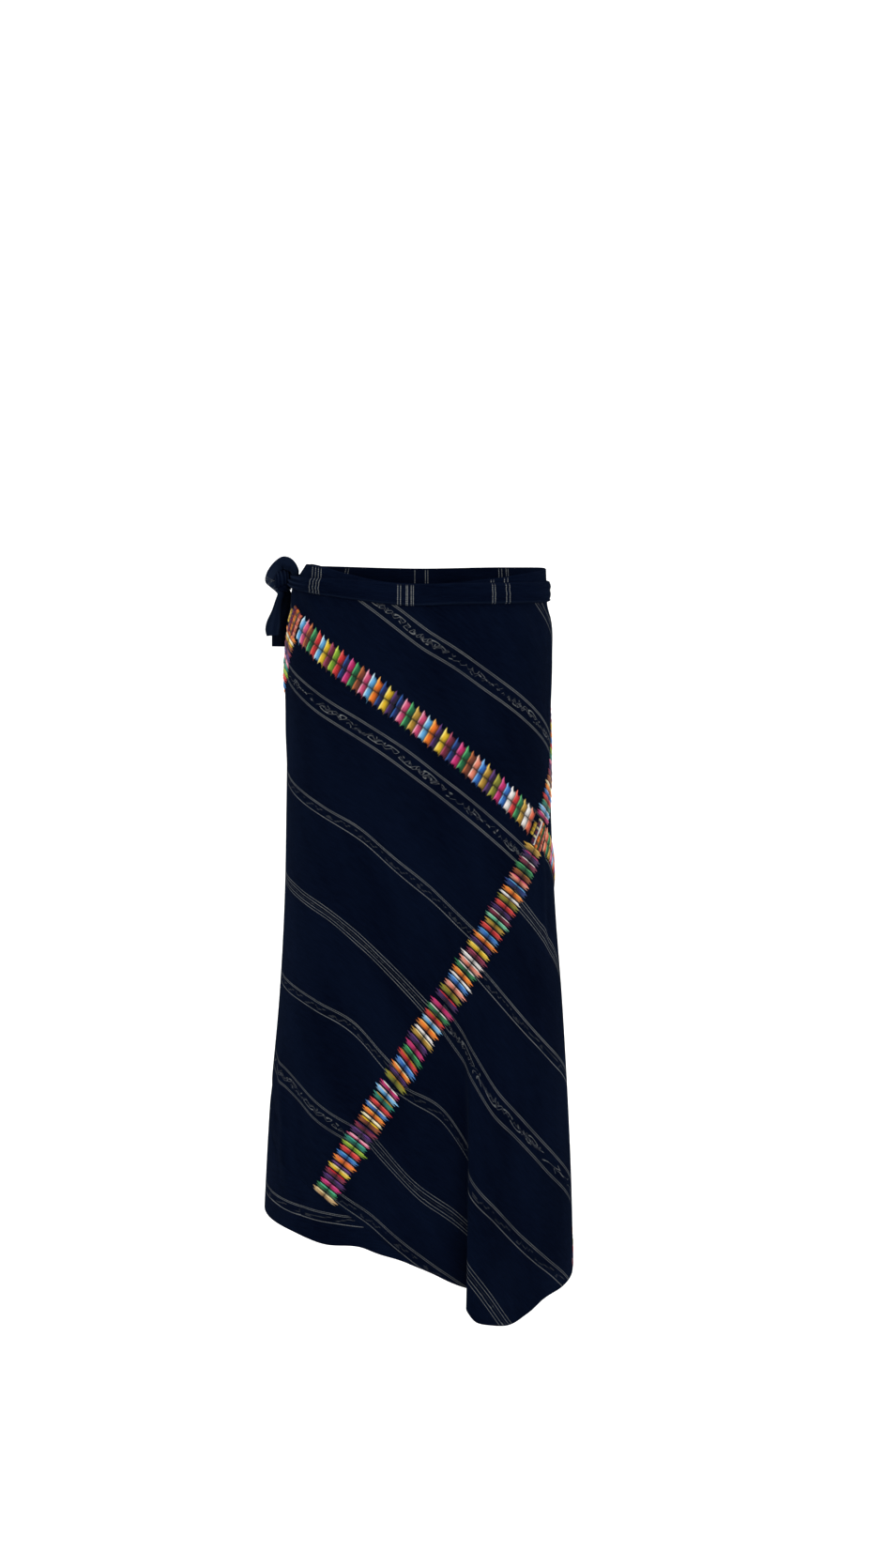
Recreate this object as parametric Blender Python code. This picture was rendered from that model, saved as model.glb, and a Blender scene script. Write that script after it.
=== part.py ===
"""A handwoven wrap skirt, hung as it is worn: bias-laid cloth in several pieces, joined by raised
embroidered seams, on a waistband with a long tie that is knotted at the wearer's right hip.

Metres, +Z up. The front faces -Y and the wearer's left is +X. The origin is the middle of the waist.
Places round the body are given in turns from the front centre, growing towards the wearer's left;
the cloth goes round more than once, so they run from below 0 to above 1.
"""

import math

import bmesh
import bpy
import numpy as np
from mathutils import Vector

# Thicknesses and gaps
CLOTH = 0.0014
BAND_THICK = 0.0022
SEAM_GAP = 0.0003
METRES_PER_TURN = 0.8
EMBROIDERY_THICK = 0.0017
CROSSING_THICK = 0.0024
BELT_INNER = 0.0010
BELT_OUTER = 0.0032
BELT_BULGE = 0.0007
# Shares of the tie's half height
BELT_INNER_EDGE = 0.35
BELT_SHOULDER = 0.88

# Heights and widths of bands
BAND_HEIGHT = 0.0230
EMBROIDERY_HALF_WIDTH = 0.0140
CROSSING_HALF = 0.0165

# The wrap, in turns: its free edge, the two plain seams of the under layer and the inner end
FREE_EDGE = -0.310
UNDER_SEAM = 0.735
UNDER_JOIN = 0.930
BAND_JOIN = 0.642
INNER_END = 1.130

# How the cloth passes inside itself: at the waist, and more at the hem, where it hangs free
TUCK_FROM = 0.570
TUCK_TO = 0.675
TUCK = 0.0045
HANG_IN = 0.0220
HANG_FROM = -0.200
HANG_SPAN = 0.600

# Squareness of the horizontal sections: 2 is an ellipse
SQUARENESS = 2.25

# Half widths and depths of the horizontal sections
# height, wearer's right, wearer's left, front, back
SECTIONS = (
    (0.040, 0.1255, 0.1405, 0.0965, 0.1000),
    (0.030, 0.1308, 0.1412, 0.0970, 0.1005),
    (0.021, 0.1365, 0.1417, 0.0975, 0.1010),
    (0.013, 0.1435, 0.1421, 0.0980, 0.1015),
    (0.000, 0.1475, 0.1425, 0.0985, 0.1020),
    (-0.016, 0.1487, 0.1435, 0.1000, 0.1050),
    (-0.030, 0.1520, 0.1475, 0.1050, 0.1090),
    (-0.074, 0.1545, 0.1495, 0.1120, 0.1180),
    (-0.139, 0.1545, 0.1485, 0.1150, 0.1250),
    (-0.249, 0.1570, 0.1500, 0.1160, 0.1200),
    (-0.360, 0.1610, 0.1560, 0.1170, 0.1170),
    (-0.474, 0.1690, 0.1655, 0.1200, 0.1190),
    (-0.591, 0.1810, 0.1730, 0.1260, 0.1250),
    (-0.709, 0.1895, 0.1785, 0.1320, 0.1310),
    (-0.850, 0.1975, 0.1815, 0.1390, 0.1370),
)

# The one deep fold: the cloth doubles under itself and falls as a flute beside the fold
DEEP_TURN = 0.0645
DEEP_HALF_WIDTH = 0.030
DEEP_START = -0.360
DEEP_FULL = -0.780
DEEP_SLIDE = 0.060
DEEP_DEPTH = 0.030
DEEP_MOST = 1.10

# Soft flutes and hollows, which grow from their start down to the hem
# turn, start height, depth at the hem (outwards positive), half width
SOFT_FOLDS = (
    (0.125, -0.400, -0.004, 0.022),
    (0.200, -0.350, 0.005, 0.030),
    (0.290, -0.300, -0.008, 0.030),
    (0.370, -0.320, 0.009, 0.032),
    (0.455, -0.280, -0.008, 0.034),
    (0.545, -0.300, 0.009, 0.034),
    (0.640, -0.340, -0.007, 0.030),
)
SOFT_GROWTH = 0.450

# Top edge of the waistband: turn, height
BAND_TOP = (
    (-0.310, 0.0300),
    (-0.180, 0.0286),
    (-0.120, 0.0190),
    (-0.075, 0.0120),
    (0.000, 0.0085),
    (0.045, 0.0090),
    (0.105, 0.0130),
    (0.190, 0.0215),
    (0.250, 0.0265),
    (0.350, 0.0290),
    (0.500, 0.0280),
    (0.690, 0.0300),
    (0.820, 0.0286),
    (0.880, 0.0190),
    (0.925, 0.0120),
    (1.000, 0.0085),
    (1.045, 0.0090),
    (1.130, 0.0145),
)

# Hem of the outer layer: turn, height
HEM = (
    (-0.310, -0.742),
    (-0.225, -0.729),
    (-0.165, -0.726),
    (-0.1225, -0.7305),
    (-0.075, -0.7285),
    (-0.060, -0.7330),
    (-0.018, -0.7440),
    (0.006, -0.7560),
    (0.032, -0.7790),
    (0.060, -0.7900),
    (0.085, -0.7970),
    (0.092, -0.8070),
    (0.101, -0.8150),
    (0.115, -0.8245),
    (0.136, -0.8190),
    (0.155, -0.8080),
    (0.183, -0.8040),
    (0.208, -0.8005),
    (0.250, -0.8050),
    (0.350, -0.8000),
    (0.500, -0.7850),
    (0.620, -0.7650),
    (0.735, -0.7450),
)

# Hem of the under layer: turn, height
UNDER_HEM = (
    (0.735, -0.7450),
    (0.800, -0.7250),
    (0.900, -0.7120),
    (1.000, -0.7250),
    (1.130, -0.7600),
)

# The belt, which rises and narrows into the knot: turn, height of its middle, half height
BELT = (
    (-0.2240, 0.0105, 0.0062),
    (-0.2000, 0.0085, 0.0072),
    (-0.1400, 0.0045, 0.0096),
    (-0.0900, 0.0005, 0.0110),
    (-0.0300, -0.0033, 0.0118),
    (0.0600, -0.0025, 0.0116),
    (0.2000, -0.0005, 0.0118),
    (0.3500, 0.0040, 0.0120),
    (0.5000, 0.0060, 0.0120),
    (0.6800, 0.0085, 0.0105),
    (0.7450, 0.0105, 0.0070),
)
BELT_GATHER = 0.0028
BELT_GATHER_SPAN = 0.030

# Seams on the flat cloth, as height at the front centre and slope
LONG_SEAM = (-0.1475, -0.772)
CROSS_SEAM = (-0.4940, 1.555)
EDGE_SEAM_ARC = -0.158
BACK_SEAM_ARC = 0.456
GORE_SEAM = (-0.7330, -0.500)
GORE_SEAM_LOW = (-0.7590, -0.760)
BELT_EDGE = (-0.0085, 0.0)
# The cloth rides up a little between the hips, so that straight threads hang in a low arch
SAG_RISE = 0.0070
SAG_SPAN = 0.420
SAG_DROP = 0.0005

# Knot, loop and ends of the tie
KNOT_CENTRE = (-0.1554, -0.0095, 0.0120)
KNOT_HALF = (0.0098, 0.0145, 0.0125)
KNOT_RIDGE = 0.0009
KNOT_SLANT = 0.5
KNOT_TURNS = 3.0
# x, y, z, half width, half thickness, direction of the width (degrees from +X)
LOOP = (
    (-0.1642, -0.0090, 0.0000, 0.0060, 0.0026, 90),
    (-0.1690, -0.0092, 0.0042, 0.0076, 0.0034, 90),
    (-0.1712, -0.0095, 0.0100, 0.0086, 0.0044, 92),
    (-0.1712, -0.0098, 0.0160, 0.0090, 0.0052, 93),
    (-0.1688, -0.0102, 0.0225, 0.0092, 0.0050, 95),
    (-0.1648, -0.0110, 0.0285, 0.0094, 0.0050, 97),
    (-0.1590, -0.0125, 0.0328, 0.0094, 0.0054, 100),
    (-0.1525, -0.0148, 0.0334, 0.0090, 0.0054, 104),
    (-0.1466, -0.0180, 0.0304, 0.0082, 0.0048, 108),
    (-0.1428, -0.0208, 0.0258, 0.0074, 0.0038, 111),
)
TAIL_OUTER = (
    (-0.1574, -0.0136, 0.0004, 0.0040, 0.0022, -42),
    (-0.1612, -0.0142, -0.0110, 0.0052, 0.0020, -43),
    (-0.1640, -0.0158, -0.0225, 0.0080, 0.0017, -45),
    (-0.1668, -0.0172, -0.0335, 0.0122, 0.0016, -46),
    (-0.1682, -0.0180, -0.0420, 0.0130, 0.0016, -46),
    (-0.1678, -0.0184, -0.0490, 0.0112, 0.0016, -46),
)
TAIL_INNER = (
    (-0.1562, -0.0040, 0.0006, 0.0044, 0.0022, 100),
    (-0.1574, -0.0012, -0.0120, 0.0072, 0.0018, 112),
    (-0.1596, 0.0008, -0.0290, 0.0092, 0.0016, 120),
    (-0.1610, 0.0014, -0.0460, 0.0096, 0.0016, 120),
    (-0.1616, 0.0016, -0.0620, 0.0080, 0.0016, 120),
)
STRAP_STEPS = 3

# Fineness of the solids
COLUMNS_PER_TURN = 52
UNDER_COLUMNS_PER_TURN = 36
DEEP_TURN_STEP = 0.036
DEEP_COLUMNS = (-2.2, -1.7, -1.3, -1.0, -0.75, -0.5, -0.25, 0.0, 0.25, 0.5, 0.75, 1.0, 1.3, 1.7, 2.2)
TOP_ROWS = (0.0, 0.012, 0.024, 0.038, 0.058, 0.085, 0.120, 0.160)
LOWER_ROWS = 17
UNDER_ROWS = (0.0, 0.024, 0.045, 0.085, 0.150)
UNDER_LOWER_ROWS = 11
TABLE_TURNS = np.linspace(-0.34, 1.20, 3081)
TABLE_HEIGHTS = np.linspace(0.040, -0.860, 226)

# Linear colour, roughness
COLOURS = {
    "cloth": ((0.0045, 0.0085, 0.0230, 1.0), 0.85),
    "band": ((0.0042, 0.0078, 0.0210, 1.0), 0.80),
    "embroidery": ((0.4200, 0.1200, 0.1000, 1.0), 0.55),
    "crossing": ((0.5500, 0.2600, 0.0400, 1.0), 0.55),
}


def smooth_step(q):
    q = np.clip(q, 0.0, 1.0)
    return q * q * (3 - 2 * q)


def curve_through(rows, column, at):
    """A smooth curve through one column of a table whose first column rises, read at the places given."""
    table = np.array(rows, float)
    places, values = table[:, 0], table[:, column]
    slopes = np.gradient(values, places)
    i = np.clip(np.searchsorted(places, at) - 1, 0, len(places) - 2)
    gap = places[i + 1] - places[i]
    q = np.clip((at - places[i]) / gap, 0.0, 1.0)
    return (
        (2 * q**3 - 3 * q**2 + 1) * values[i]
        + (q**3 - 2 * q**2 + q) * gap * slopes[i]
        + (3 * q**2 - 2 * q**3) * values[i + 1]
        + (q**3 - q**2) * gap * slopes[i + 1]
    )


def unit(x, y):
    size = np.hypot(x, y)
    return x / size, y / size


def arc_length(x, y):
    """Length along each ring, counted from the front centre."""
    step = np.hypot(np.diff(x, axis=1), np.diff(y, axis=1))
    arc = np.concatenate([np.zeros((len(x), 1)), np.cumsum(step, axis=1)], axis=1)
    return arc - arc[:, [int(np.argmin(np.abs(TABLE_TURNS)))]]


def body_rings():
    """The plain sections as rings of points, one for each table height."""
    rising = SECTIONS[::-1]
    right, left, front, back = (curve_through(rising, c, TABLE_HEIGHTS)[:, None] for c in range(1, 5))
    angle = 2 * math.pi * TABLE_TURNS[None, :]
    side = np.where(np.sin(angle) > 0, left, right)
    depth = np.where(np.cos(angle) > 0, front, back)
    n = SQUARENESS
    radius = (np.abs(np.sin(angle) / side) ** n + np.abs(np.cos(angle) / depth) ** n) ** (-1 / n)
    return radius * np.sin(angle), -radius * np.cos(angle)


def hang_cloth(x, y):
    """Moves the rings to where the cloth hangs: tucked inside itself, in the deep fold and in soft flutes."""
    heights = TABLE_HEIGHTS[:, None]
    arc = arc_length(x, y)
    whole_turn = arc[:, [int(np.argmin(np.abs(TABLE_TURNS - 1)))]]
    along_x, along_y = unit(np.gradient(x, axis=1), np.gradient(y, axis=1))
    tucked = smooth_step((TABLE_TURNS[None, :] - TUCK_FROM) / (TUCK_TO - TUCK_FROM))
    out = -(TUCK + HANG_IN * smooth_step((HANG_FROM - heights) / HANG_SPAN)) * tucked
    grown = np.clip((DEEP_START - heights) / (DEEP_START - DEEP_FULL), 0.0, DEEP_MOST)
    deep_arc = arc[:, [int(np.argmin(np.abs(TABLE_TURNS - DEEP_TURN)))]]
    q = (arc - deep_arc) / DEEP_HALF_WIDTH
    doubled = grown * q * np.exp(-q * q)
    out = out + DEEP_DEPTH * doubled
    for turn, start, depth, half_width in SOFT_FOLDS:
        away = (TABLE_TURNS[None, :] - turn) * whole_turn / half_width
        out = out + depth * smooth_step((start - heights) / SOFT_GROWTH) * np.exp(-away * away)
    slide = -DEEP_SLIDE * doubled
    return x + along_y * out + along_x * slide, y - along_x * out + along_y * slide


def outward(x, y):
    """Unit directions out of a surface given as rings of points."""
    across = np.stack([np.gradient(x, axis=1), np.gradient(y, axis=1), np.zeros_like(x)], axis=-1)
    fall = np.gradient(TABLE_HEIGHTS)[:, None] * np.ones_like(x)
    down = np.stack([np.gradient(x, axis=0), np.gradient(y, axis=0), fall], axis=-1)
    out = np.cross(down, across)
    return out / np.linalg.norm(out, axis=-1, keepdims=True)


class Surface:
    """A surface as a table of rings, read at any turn and height."""

    def __init__(self, x, y):
        self.x, self.y = x, y
        self.arc = arc_length(x, y)
        self.out = outward(x, y)

    def read(self, turn, height):
        """The point, the outward direction and the arc length from the front centre."""
        row = (TABLE_HEIGHTS[0] - height) / (TABLE_HEIGHTS[0] - TABLE_HEIGHTS[1])
        column = (turn - TABLE_TURNS[0]) / (TABLE_TURNS[1] - TABLE_TURNS[0])
        i, j = int(row), int(column)
        p, q = row - i, column - j
        weights = (((i, j), (1 - p) * (1 - q)), ((i, j + 1), (1 - p) * q))
        weights += (((i + 1, j), p * (1 - q)), ((i + 1, j + 1), p * q))
        x = sum(w * self.x[at] for at, w in weights)
        y = sum(w * self.y[at] for at, w in weights)
        arc = sum(w * self.arc[at] for at, w in weights)
        out = Vector(sum(w * self.out[at] for at, w in weights)).normalized()
        return Vector((x, y, height)), out, arc


def sag(arc):
    """How far the cloth at this place hangs above its flat height."""
    return SAG_RISE * math.cos(2 * math.pi * arc / SAG_SPAN) - SAG_DROP


def material(kind):
    if kind in bpy.data.materials:
        return bpy.data.materials[kind]
    made = bpy.data.materials.new(kind)
    made.use_nodes = True
    shader = made.node_tree.nodes["Principled BSDF"]
    colour, roughness = COLOURS[kind]
    shader.inputs["Base Color"].default_value = colour
    shader.inputs["Roughness"].default_value = roughness
    shader.inputs["Metallic"].default_value = 0.0
    return made


def add_object(name, points, faces, kind, collection):
    mesh = bpy.data.meshes.new(name)
    mesh.from_pydata([tuple(p) for p in points], [], faces)
    mesh.validate()
    mesh.materials.append(material(kind))
    mesh.shade_smooth()
    mesh.set_sharp_from_angle(angle=math.radians(50))
    made = bpy.data.objects.new(name, mesh)
    collection.objects.link(made)
    return made


def column_turns(start, end, per_turn, with_deep_fold):
    """Turns of the columns, even but for the deep fold, which has closer ones."""
    count = math.ceil((end - start) * per_turn)
    turns = [start + (end - start) * i / count for i in range(count + 1)]
    if not with_deep_fold:
        return turns
    close = [DEEP_TURN + DEEP_TURN_STEP * q for q in DEEP_COLUMNS]
    spare = DEEP_TURN_STEP * 0.3
    kept = [t for t in turns if t < close[0] - spare or t > close[-1] + spare]
    return sorted(kept + close)


def row_shares(first, count):
    last = first[-1]
    return [*first, *(last + (1 - last) * (i + 1) / count for i in range(count))]


def flat_cloth(surface, turns, shares, hem):
    """The cloth as triangles on its flat plane, arc length by flat height. Each vertex also carries its
    hung point and outward direction, which cutting the flat cloth carries on to the new edges."""
    flat = bmesh.new()
    hung = flat.verts.layers.float_vector.new("hung")
    out = flat.verts.layers.float_vector.new("out")
    columns = []
    for turn in turns:
        top = float(curve_through(BAND_TOP, 1, turn)) - BAND_HEIGHT - SEAM_GAP
        bottom = float(curve_through(hem, 1, turn))
        column = []
        for share in shares:
            height = top + share * (bottom - top)
            point, direction, arc = surface.read(turn, height)
            vertex = flat.verts.new((arc, height - sag(arc), 0.0))
            vertex[hung], vertex[out] = point, direction
            column.append(vertex)
        columns.append(column)
    for left, right in zip(columns, columns[1:]):
        for a, b, c, d in zip(left, right, right[1:], left[1:]):
            flat.faces.new((a, d, b))
            flat.faces.new((b, d, c))
    return flat


def above(line, place):
    """Signed distance of a place on the flat cloth above a line given as height at arc 0 and slope."""
    level, slope = line
    return (place.y - level - slope * place.x) / math.hypot(1, slope)


def cut_out(flat, every, some=()):
    """A copy of the flat cloth with what lies on the wanted side of every line, and of some of the
    others. Each is a line, the side that is kept (1 above it, -1 below it) and the distance kept off."""
    piece = flat.copy()
    for line, side, margin in (*every, *some):
        level, slope = line
        across = Vector((-slope, 1.0, 0.0)).normalized()
        on_line = Vector((0.0, level, 0.0)) + across * side * margin
        geometry = [*piece.verts, *piece.edges, *piece.faces]
        bmesh.ops.bisect_plane(piece, geom=geometry, dist=1e-6, plane_co=on_line, plane_no=across)

    def kept(face):
        middle = face.calc_center_median()
        tests = [side * above(line, middle) > margin for line, side, margin in every]
        others = [side * above(line, middle) > margin for line, side, margin in some]
        return all(tests) and (not others or any(others))

    dropped = [face for face in piece.faces if not kept(face)]
    bmesh.ops.delete(piece, geom=dropped, context="FACES")
    return piece


def wall(name, piece, inner, outer, kind, collection):
    """A closed wall on a cut piece, between two offsets along the outward direction."""
    hung = piece.verts.layers.float_vector["hung"]
    out = piece.verts.layers.float_vector["out"]
    piece.verts.index_update()
    piece.verts.ensure_lookup_table()
    count = len(piece.verts)
    points = [v[hung] + v[out].normalized() * outer for v in piece.verts]
    points += [v[hung] + v[out].normalized() * inner for v in piece.verts]
    faces = []
    for face in piece.faces:
        corners = [v.index for v in face.verts]
        if face.normal.z < 0:
            corners.reverse()
        faces.append(corners)
        faces.append([count + i for i in reversed(corners)])
        for a, b in zip(corners, corners[1:] + corners[:1]):
            edge = piece.edges.get((piece.verts[a], piece.verts[b]))
            if edge.is_boundary:
                faces.append([b, a, count + a, count + b])
    piece.free()
    return add_object(name, points, faces, kind, collection)


def loft(name, rings, kind, collection):
    """A solid through rings of points that run the same way, closed with a cap at each end."""
    size = len(rings[0])
    points = [p for ring in rings for p in ring]
    faces = [list(range(size))[::-1]]
    for r in range(len(rings) - 1):
        for i in range(size):
            j = (i + 1) % size
            low, high = r * size, (r + 1) * size
            faces.append([low + i, low + j, high + j, high + i])
    last = (len(rings) - 1) * size
    faces.append([last + i for i in range(size)])
    return add_object(name, points, faces, kind, collection)


def waistband(name, start, end, surface, collection):
    """A flat band that follows the wrap between two turns."""
    rings = []
    for turn in column_turns(start, end, COLUMNS_PER_TURN, False):
        top = float(curve_through(BAND_TOP, 1, turn))
        ring = []
        for height, depth in ((top, 0), (top - BAND_HEIGHT, 0), (top - BAND_HEIGHT, 1), (top, 1)):
            point, out, _ = surface.read(turn, height)
            ring.append(point - out * BAND_THICK * depth)
        rings.append(ring)
    return loft(name, rings, "band", collection)


def belt(surface, collection):
    """The tie round the waist, over the band, thicker where it is drawn into the knot."""
    rings = []
    start, end = BELT[0][0], BELT[-1][0]
    for turn in column_turns(start, end, COLUMNS_PER_TURN, False):
        middle = float(curve_through(BELT, 1, turn))
        half = float(curve_through(BELT, 2, turn))
        drawn = float(smooth_step(1 - min(turn - start, end - turn) / BELT_GATHER_SPAN))
        face = BELT_OUTER + BELT_GATHER * drawn
        section = (
            (-1.0, BELT_INNER),
            (-BELT_INNER_EDGE, BELT_INNER),
            (BELT_INNER_EDGE, BELT_INNER),
            (1.0, BELT_INNER),
            (BELT_SHOULDER, face),
            (0.0, face + BELT_BULGE),
            (-BELT_SHOULDER, face),
        )
        ring = []
        for share, offset in section:
            point, out, _ = surface.read(turn, middle + half * share)
            ring.append(point + out * offset)
        rings.append(ring)
    return loft("tie_belt", rings, "band", collection)


def knot(collection):
    """The middle of the knot: a rounded bundle with one turn of the tie standing proud across it."""
    shape = bmesh.new()
    bmesh.ops.create_uvsphere(shape, u_segments=16, v_segments=10, radius=1.0)
    for vertex in shape.verts:
        place = vertex.co.normalized()
        across = place.z + KNOT_SLANT * place.y
        rise = KNOT_RIDGE * math.cos(KNOT_TURNS * across)
        vertex.co = Vector(KNOT_CENTRE) + Vector([c * (h + rise) for c, h in zip(place, KNOT_HALF)])
    mesh = bpy.data.meshes.new("tie_knot")
    shape.to_mesh(mesh)
    shape.free()
    mesh.materials.append(material("band"))
    mesh.shade_smooth()
    made = bpy.data.objects.new("tie_knot", mesh)
    collection.objects.link(made)
    return made


def strap(name, rows, collection):
    """A folded strip swept along the middle line in a table, with a rounded section."""
    table = np.array(rows, float)
    places = np.arange(len(rows), dtype=float)
    steps = np.linspace(0, len(rows) - 1, (len(rows) - 1) * STRAP_STEPS + 1)
    numbered = np.column_stack([places, table])
    path = np.array([curve_through(numbered, c, steps) for c in range(1, 7)]).T
    rings = []
    for i, (x, y, z, half_width, half_thick, angle) in enumerate(path):
        ahead = Vector(path[min(i + 1, len(path) - 1)][:3]) - Vector(path[max(i - 1, 0)][:3])
        ahead.normalize()
        wide = Vector((math.cos(math.radians(angle)), math.sin(math.radians(angle)), 0.0))
        wide = (wide - ahead * wide.dot(ahead)).normalized()
        thick = ahead.cross(wide)
        ring = []
        for corner in range(8):
            turn = math.radians(22.5 + 45 * corner)
            u = max(-1.0, min(1.0, 1.15 * math.cos(turn)))
            v = 1.08 * math.sin(turn)
            ring.append(Vector((x, y, z)) + wide * half_width * u + thick * half_thick * v)
        rings.append(ring)
    return loft(name, rings, "band", collection)


def seam_across(line, arc):
    """A line parallel to the cross seam through the given line's place at this arc length."""
    level, slope = line
    return (level + slope * arc - CROSS_SEAM[1] * arc, CROSS_SEAM[1])


def make_panels(flat, edge_seam, back_seam, collection):
    """The cloth pieces, cut from one flat cloth at the seams."""
    half = SEAM_GAP / 2
    pieces = {
        "panel_upper_front": (((LONG_SEAM, 1, half), (CROSS_SEAM, 1, half)), ()),
        "panel_back": (((LONG_SEAM, 1, half), (CROSS_SEAM, -1, half), (back_seam, 1, half)), ()),
        "panel_back_edge": (((LONG_SEAM, 1, half), (back_seam, -1, half)), ()),
        "panel_wrap_edge": (((LONG_SEAM, -1, half), (edge_seam, 1, half)), ()),
        "panel_front": (
            ((LONG_SEAM, -1, half), (CROSS_SEAM, 1, half), (edge_seam, -1, half)),
            ((GORE_SEAM, 1, half), (GORE_SEAM_LOW, 1, half)),
        ),
        "panel_side": (
            (
                (LONG_SEAM, -1, half),
                (CROSS_SEAM, -1, half),
                (GORE_SEAM_LOW, 1, half),
                (back_seam, 1, half),
            ),
            (),
        ),
        "panel_back_low": (((LONG_SEAM, -1, half), (back_seam, -1, half)), ()),
        "corner_gore": (((GORE_SEAM, -1, half), (GORE_SEAM_LOW, -1, half)), ()),
    }
    for name, (every, some) in pieces.items():
        wall(name, cut_out(flat, every, some), -CLOTH, 0.0, "cloth", collection)


def make_embroidery(flat, edge_seam, back_seam, collection):
    """Raised bands over the seams and pads where they cross, on the panels' own points, moved out."""
    wide = EMBROIDERY_HALF_WIDTH
    stop = CROSSING_HALF
    end = stop + SEAM_GAP
    long_sides = ((LONG_SEAM, 1, -wide), (LONG_SEAM, -1, -wide))
    cross_sides = ((CROSS_SEAM, 1, -wide), (CROSS_SEAM, -1, -wide))
    edge_sides = ((edge_seam, 1, -wide), (edge_seam, -1, -wide))
    back_sides = ((back_seam, 1, -wide), (back_seam, -1, -wide))
    bands = {
        "randa_long_front": (*long_sides, (CROSS_SEAM, 1, end), (edge_seam, -1, end)),
        "randa_long_back": (*long_sides, (CROSS_SEAM, -1, end), (back_seam, 1, end)),
        "randa_long_end": (*long_sides, (back_seam, -1, end)),
        "randa_cross_front": (*cross_sides, (LONG_SEAM, -1, end), (GORE_SEAM, 1, SEAM_GAP)),
        "randa_cross_hip": (*cross_sides, (LONG_SEAM, 1, end), (BELT_EDGE, -1, SEAM_GAP)),
        "randa_edge": (*edge_sides, (LONG_SEAM, -1, end)),
        "randa_back_low": (*back_sides, (LONG_SEAM, -1, end)),
        "randa_back_high": (*back_sides, (LONG_SEAM, 1, end)),
    }
    for name, sides in bands.items():
        piece = cut_out(flat, sides)
        wall(name, piece, SEAM_GAP, SEAM_GAP + EMBROIDERY_THICK, "embroidery", collection)
    crossings = {"crossing_front": CROSS_SEAM, "crossing_edge": edge_seam, "crossing_back": back_seam}
    for name, seam in crossings.items():
        sides = ((LONG_SEAM, 1, -stop), (LONG_SEAM, -1, -stop), (seam, 1, -stop), (seam, -1, -stop))
        piece = cut_out(flat, sides)
        wall(name, piece, SEAM_GAP, SEAM_GAP + CROSSING_THICK, "crossing", collection)


def make_under_layer(surface, collection):
    """The two pieces of the inner end of the wrap."""
    gap = SEAM_GAP / METRES_PER_TURN
    pieces = {
        "panel_under": (UNDER_SEAM + gap, UNDER_JOIN),
        "panel_under_front": (UNDER_JOIN + gap, INNER_END),
    }
    for name, (start, end) in pieces.items():
        turns = column_turns(start, end, UNDER_COLUMNS_PER_TURN, False)
        under = flat_cloth(surface, turns, row_shares(UNDER_ROWS, UNDER_LOWER_ROWS), UNDER_HEM)
        wall(name, under, -CLOTH, 0.0, "cloth", collection)


def main():
    for old in list(bpy.data.objects):
        bpy.data.objects.remove(old, do_unlink=True)
    collection = bpy.data.collections.new("wrap_skirt")
    bpy.context.scene.collection.children.link(collection)
    body = Surface(*body_rings())
    cloth = Surface(*hang_cloth(body.x, body.y))

    outer_turns = column_turns(FREE_EDGE, UNDER_SEAM, COLUMNS_PER_TURN, True)
    flat = flat_cloth(cloth, outer_turns, row_shares(TOP_ROWS, LOWER_ROWS), HEM)
    edge_seam = seam_across(LONG_SEAM, EDGE_SEAM_ARC)
    back_seam = seam_across(LONG_SEAM, BACK_SEAM_ARC)
    make_panels(flat, edge_seam, back_seam, collection)
    make_embroidery(flat, edge_seam, back_seam, collection)
    flat.free()
    make_under_layer(cloth, collection)
    waistband("waistband", FREE_EDGE, BAND_JOIN, cloth, collection)
    waistband("waistband_inner", BAND_JOIN + SEAM_GAP / METRES_PER_TURN, INNER_END, cloth, collection)
    belt(body, collection)
    knot(collection)
    strap("tie_loop", LOOP, collection)
    strap("tie_tail_outer", TAIL_OUTER, collection)
    strap("tie_tail_inner", TAIL_INNER, collection)


main()
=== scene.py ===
"""The looks of the wrap skirt: fine cloth, woven stripes, stitched seams and the knotted tie.

Metres, +Z up, front towards -Y. Places round the body are in turns from the front centre, growing
towards the wearer's left. Flat places on the cloth are arc lengths and heights.
"""

import math
from functools import partialmethod, reduce
from itertools import cycle, islice

import bmesh
import bpy
import numpy as np
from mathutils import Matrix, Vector


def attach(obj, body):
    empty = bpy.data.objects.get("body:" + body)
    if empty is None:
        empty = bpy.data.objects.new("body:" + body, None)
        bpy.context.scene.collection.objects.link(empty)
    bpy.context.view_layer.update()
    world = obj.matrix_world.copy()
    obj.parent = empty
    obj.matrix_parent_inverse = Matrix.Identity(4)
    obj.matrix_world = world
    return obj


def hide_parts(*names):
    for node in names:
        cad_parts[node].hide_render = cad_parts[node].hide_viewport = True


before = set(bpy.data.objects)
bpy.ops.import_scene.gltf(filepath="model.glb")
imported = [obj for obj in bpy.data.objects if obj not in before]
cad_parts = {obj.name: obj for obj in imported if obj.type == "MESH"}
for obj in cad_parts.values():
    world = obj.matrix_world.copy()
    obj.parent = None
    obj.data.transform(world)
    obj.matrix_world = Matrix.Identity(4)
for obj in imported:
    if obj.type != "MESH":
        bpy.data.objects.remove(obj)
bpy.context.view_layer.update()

# The form, in the same sizes as the solids

CLOTH = 0.0010
BAND_THICK = 0.0020
SEAM_GAP = 0.0003
METRES_PER_TURN = 0.8
SEAM_TURN = SEAM_GAP / METRES_PER_TURN
BAND_HEIGHT = 0.0230
EMBROIDERY_HALF_WIDTH = 0.0140
FREE_EDGE = -0.310
UNDER_SEAM = 0.735
UNDER_JOIN = 0.930
BAND_JOIN = 0.642
INNER_END = 1.130
TUCK_FROM = 0.570
TUCK_TO = 0.675
TUCK = 0.0045
HANG_IN = 0.0220
HANG_FROM = -0.200
HANG_SPAN = 0.600
SQUARENESS = 2.25

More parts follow.
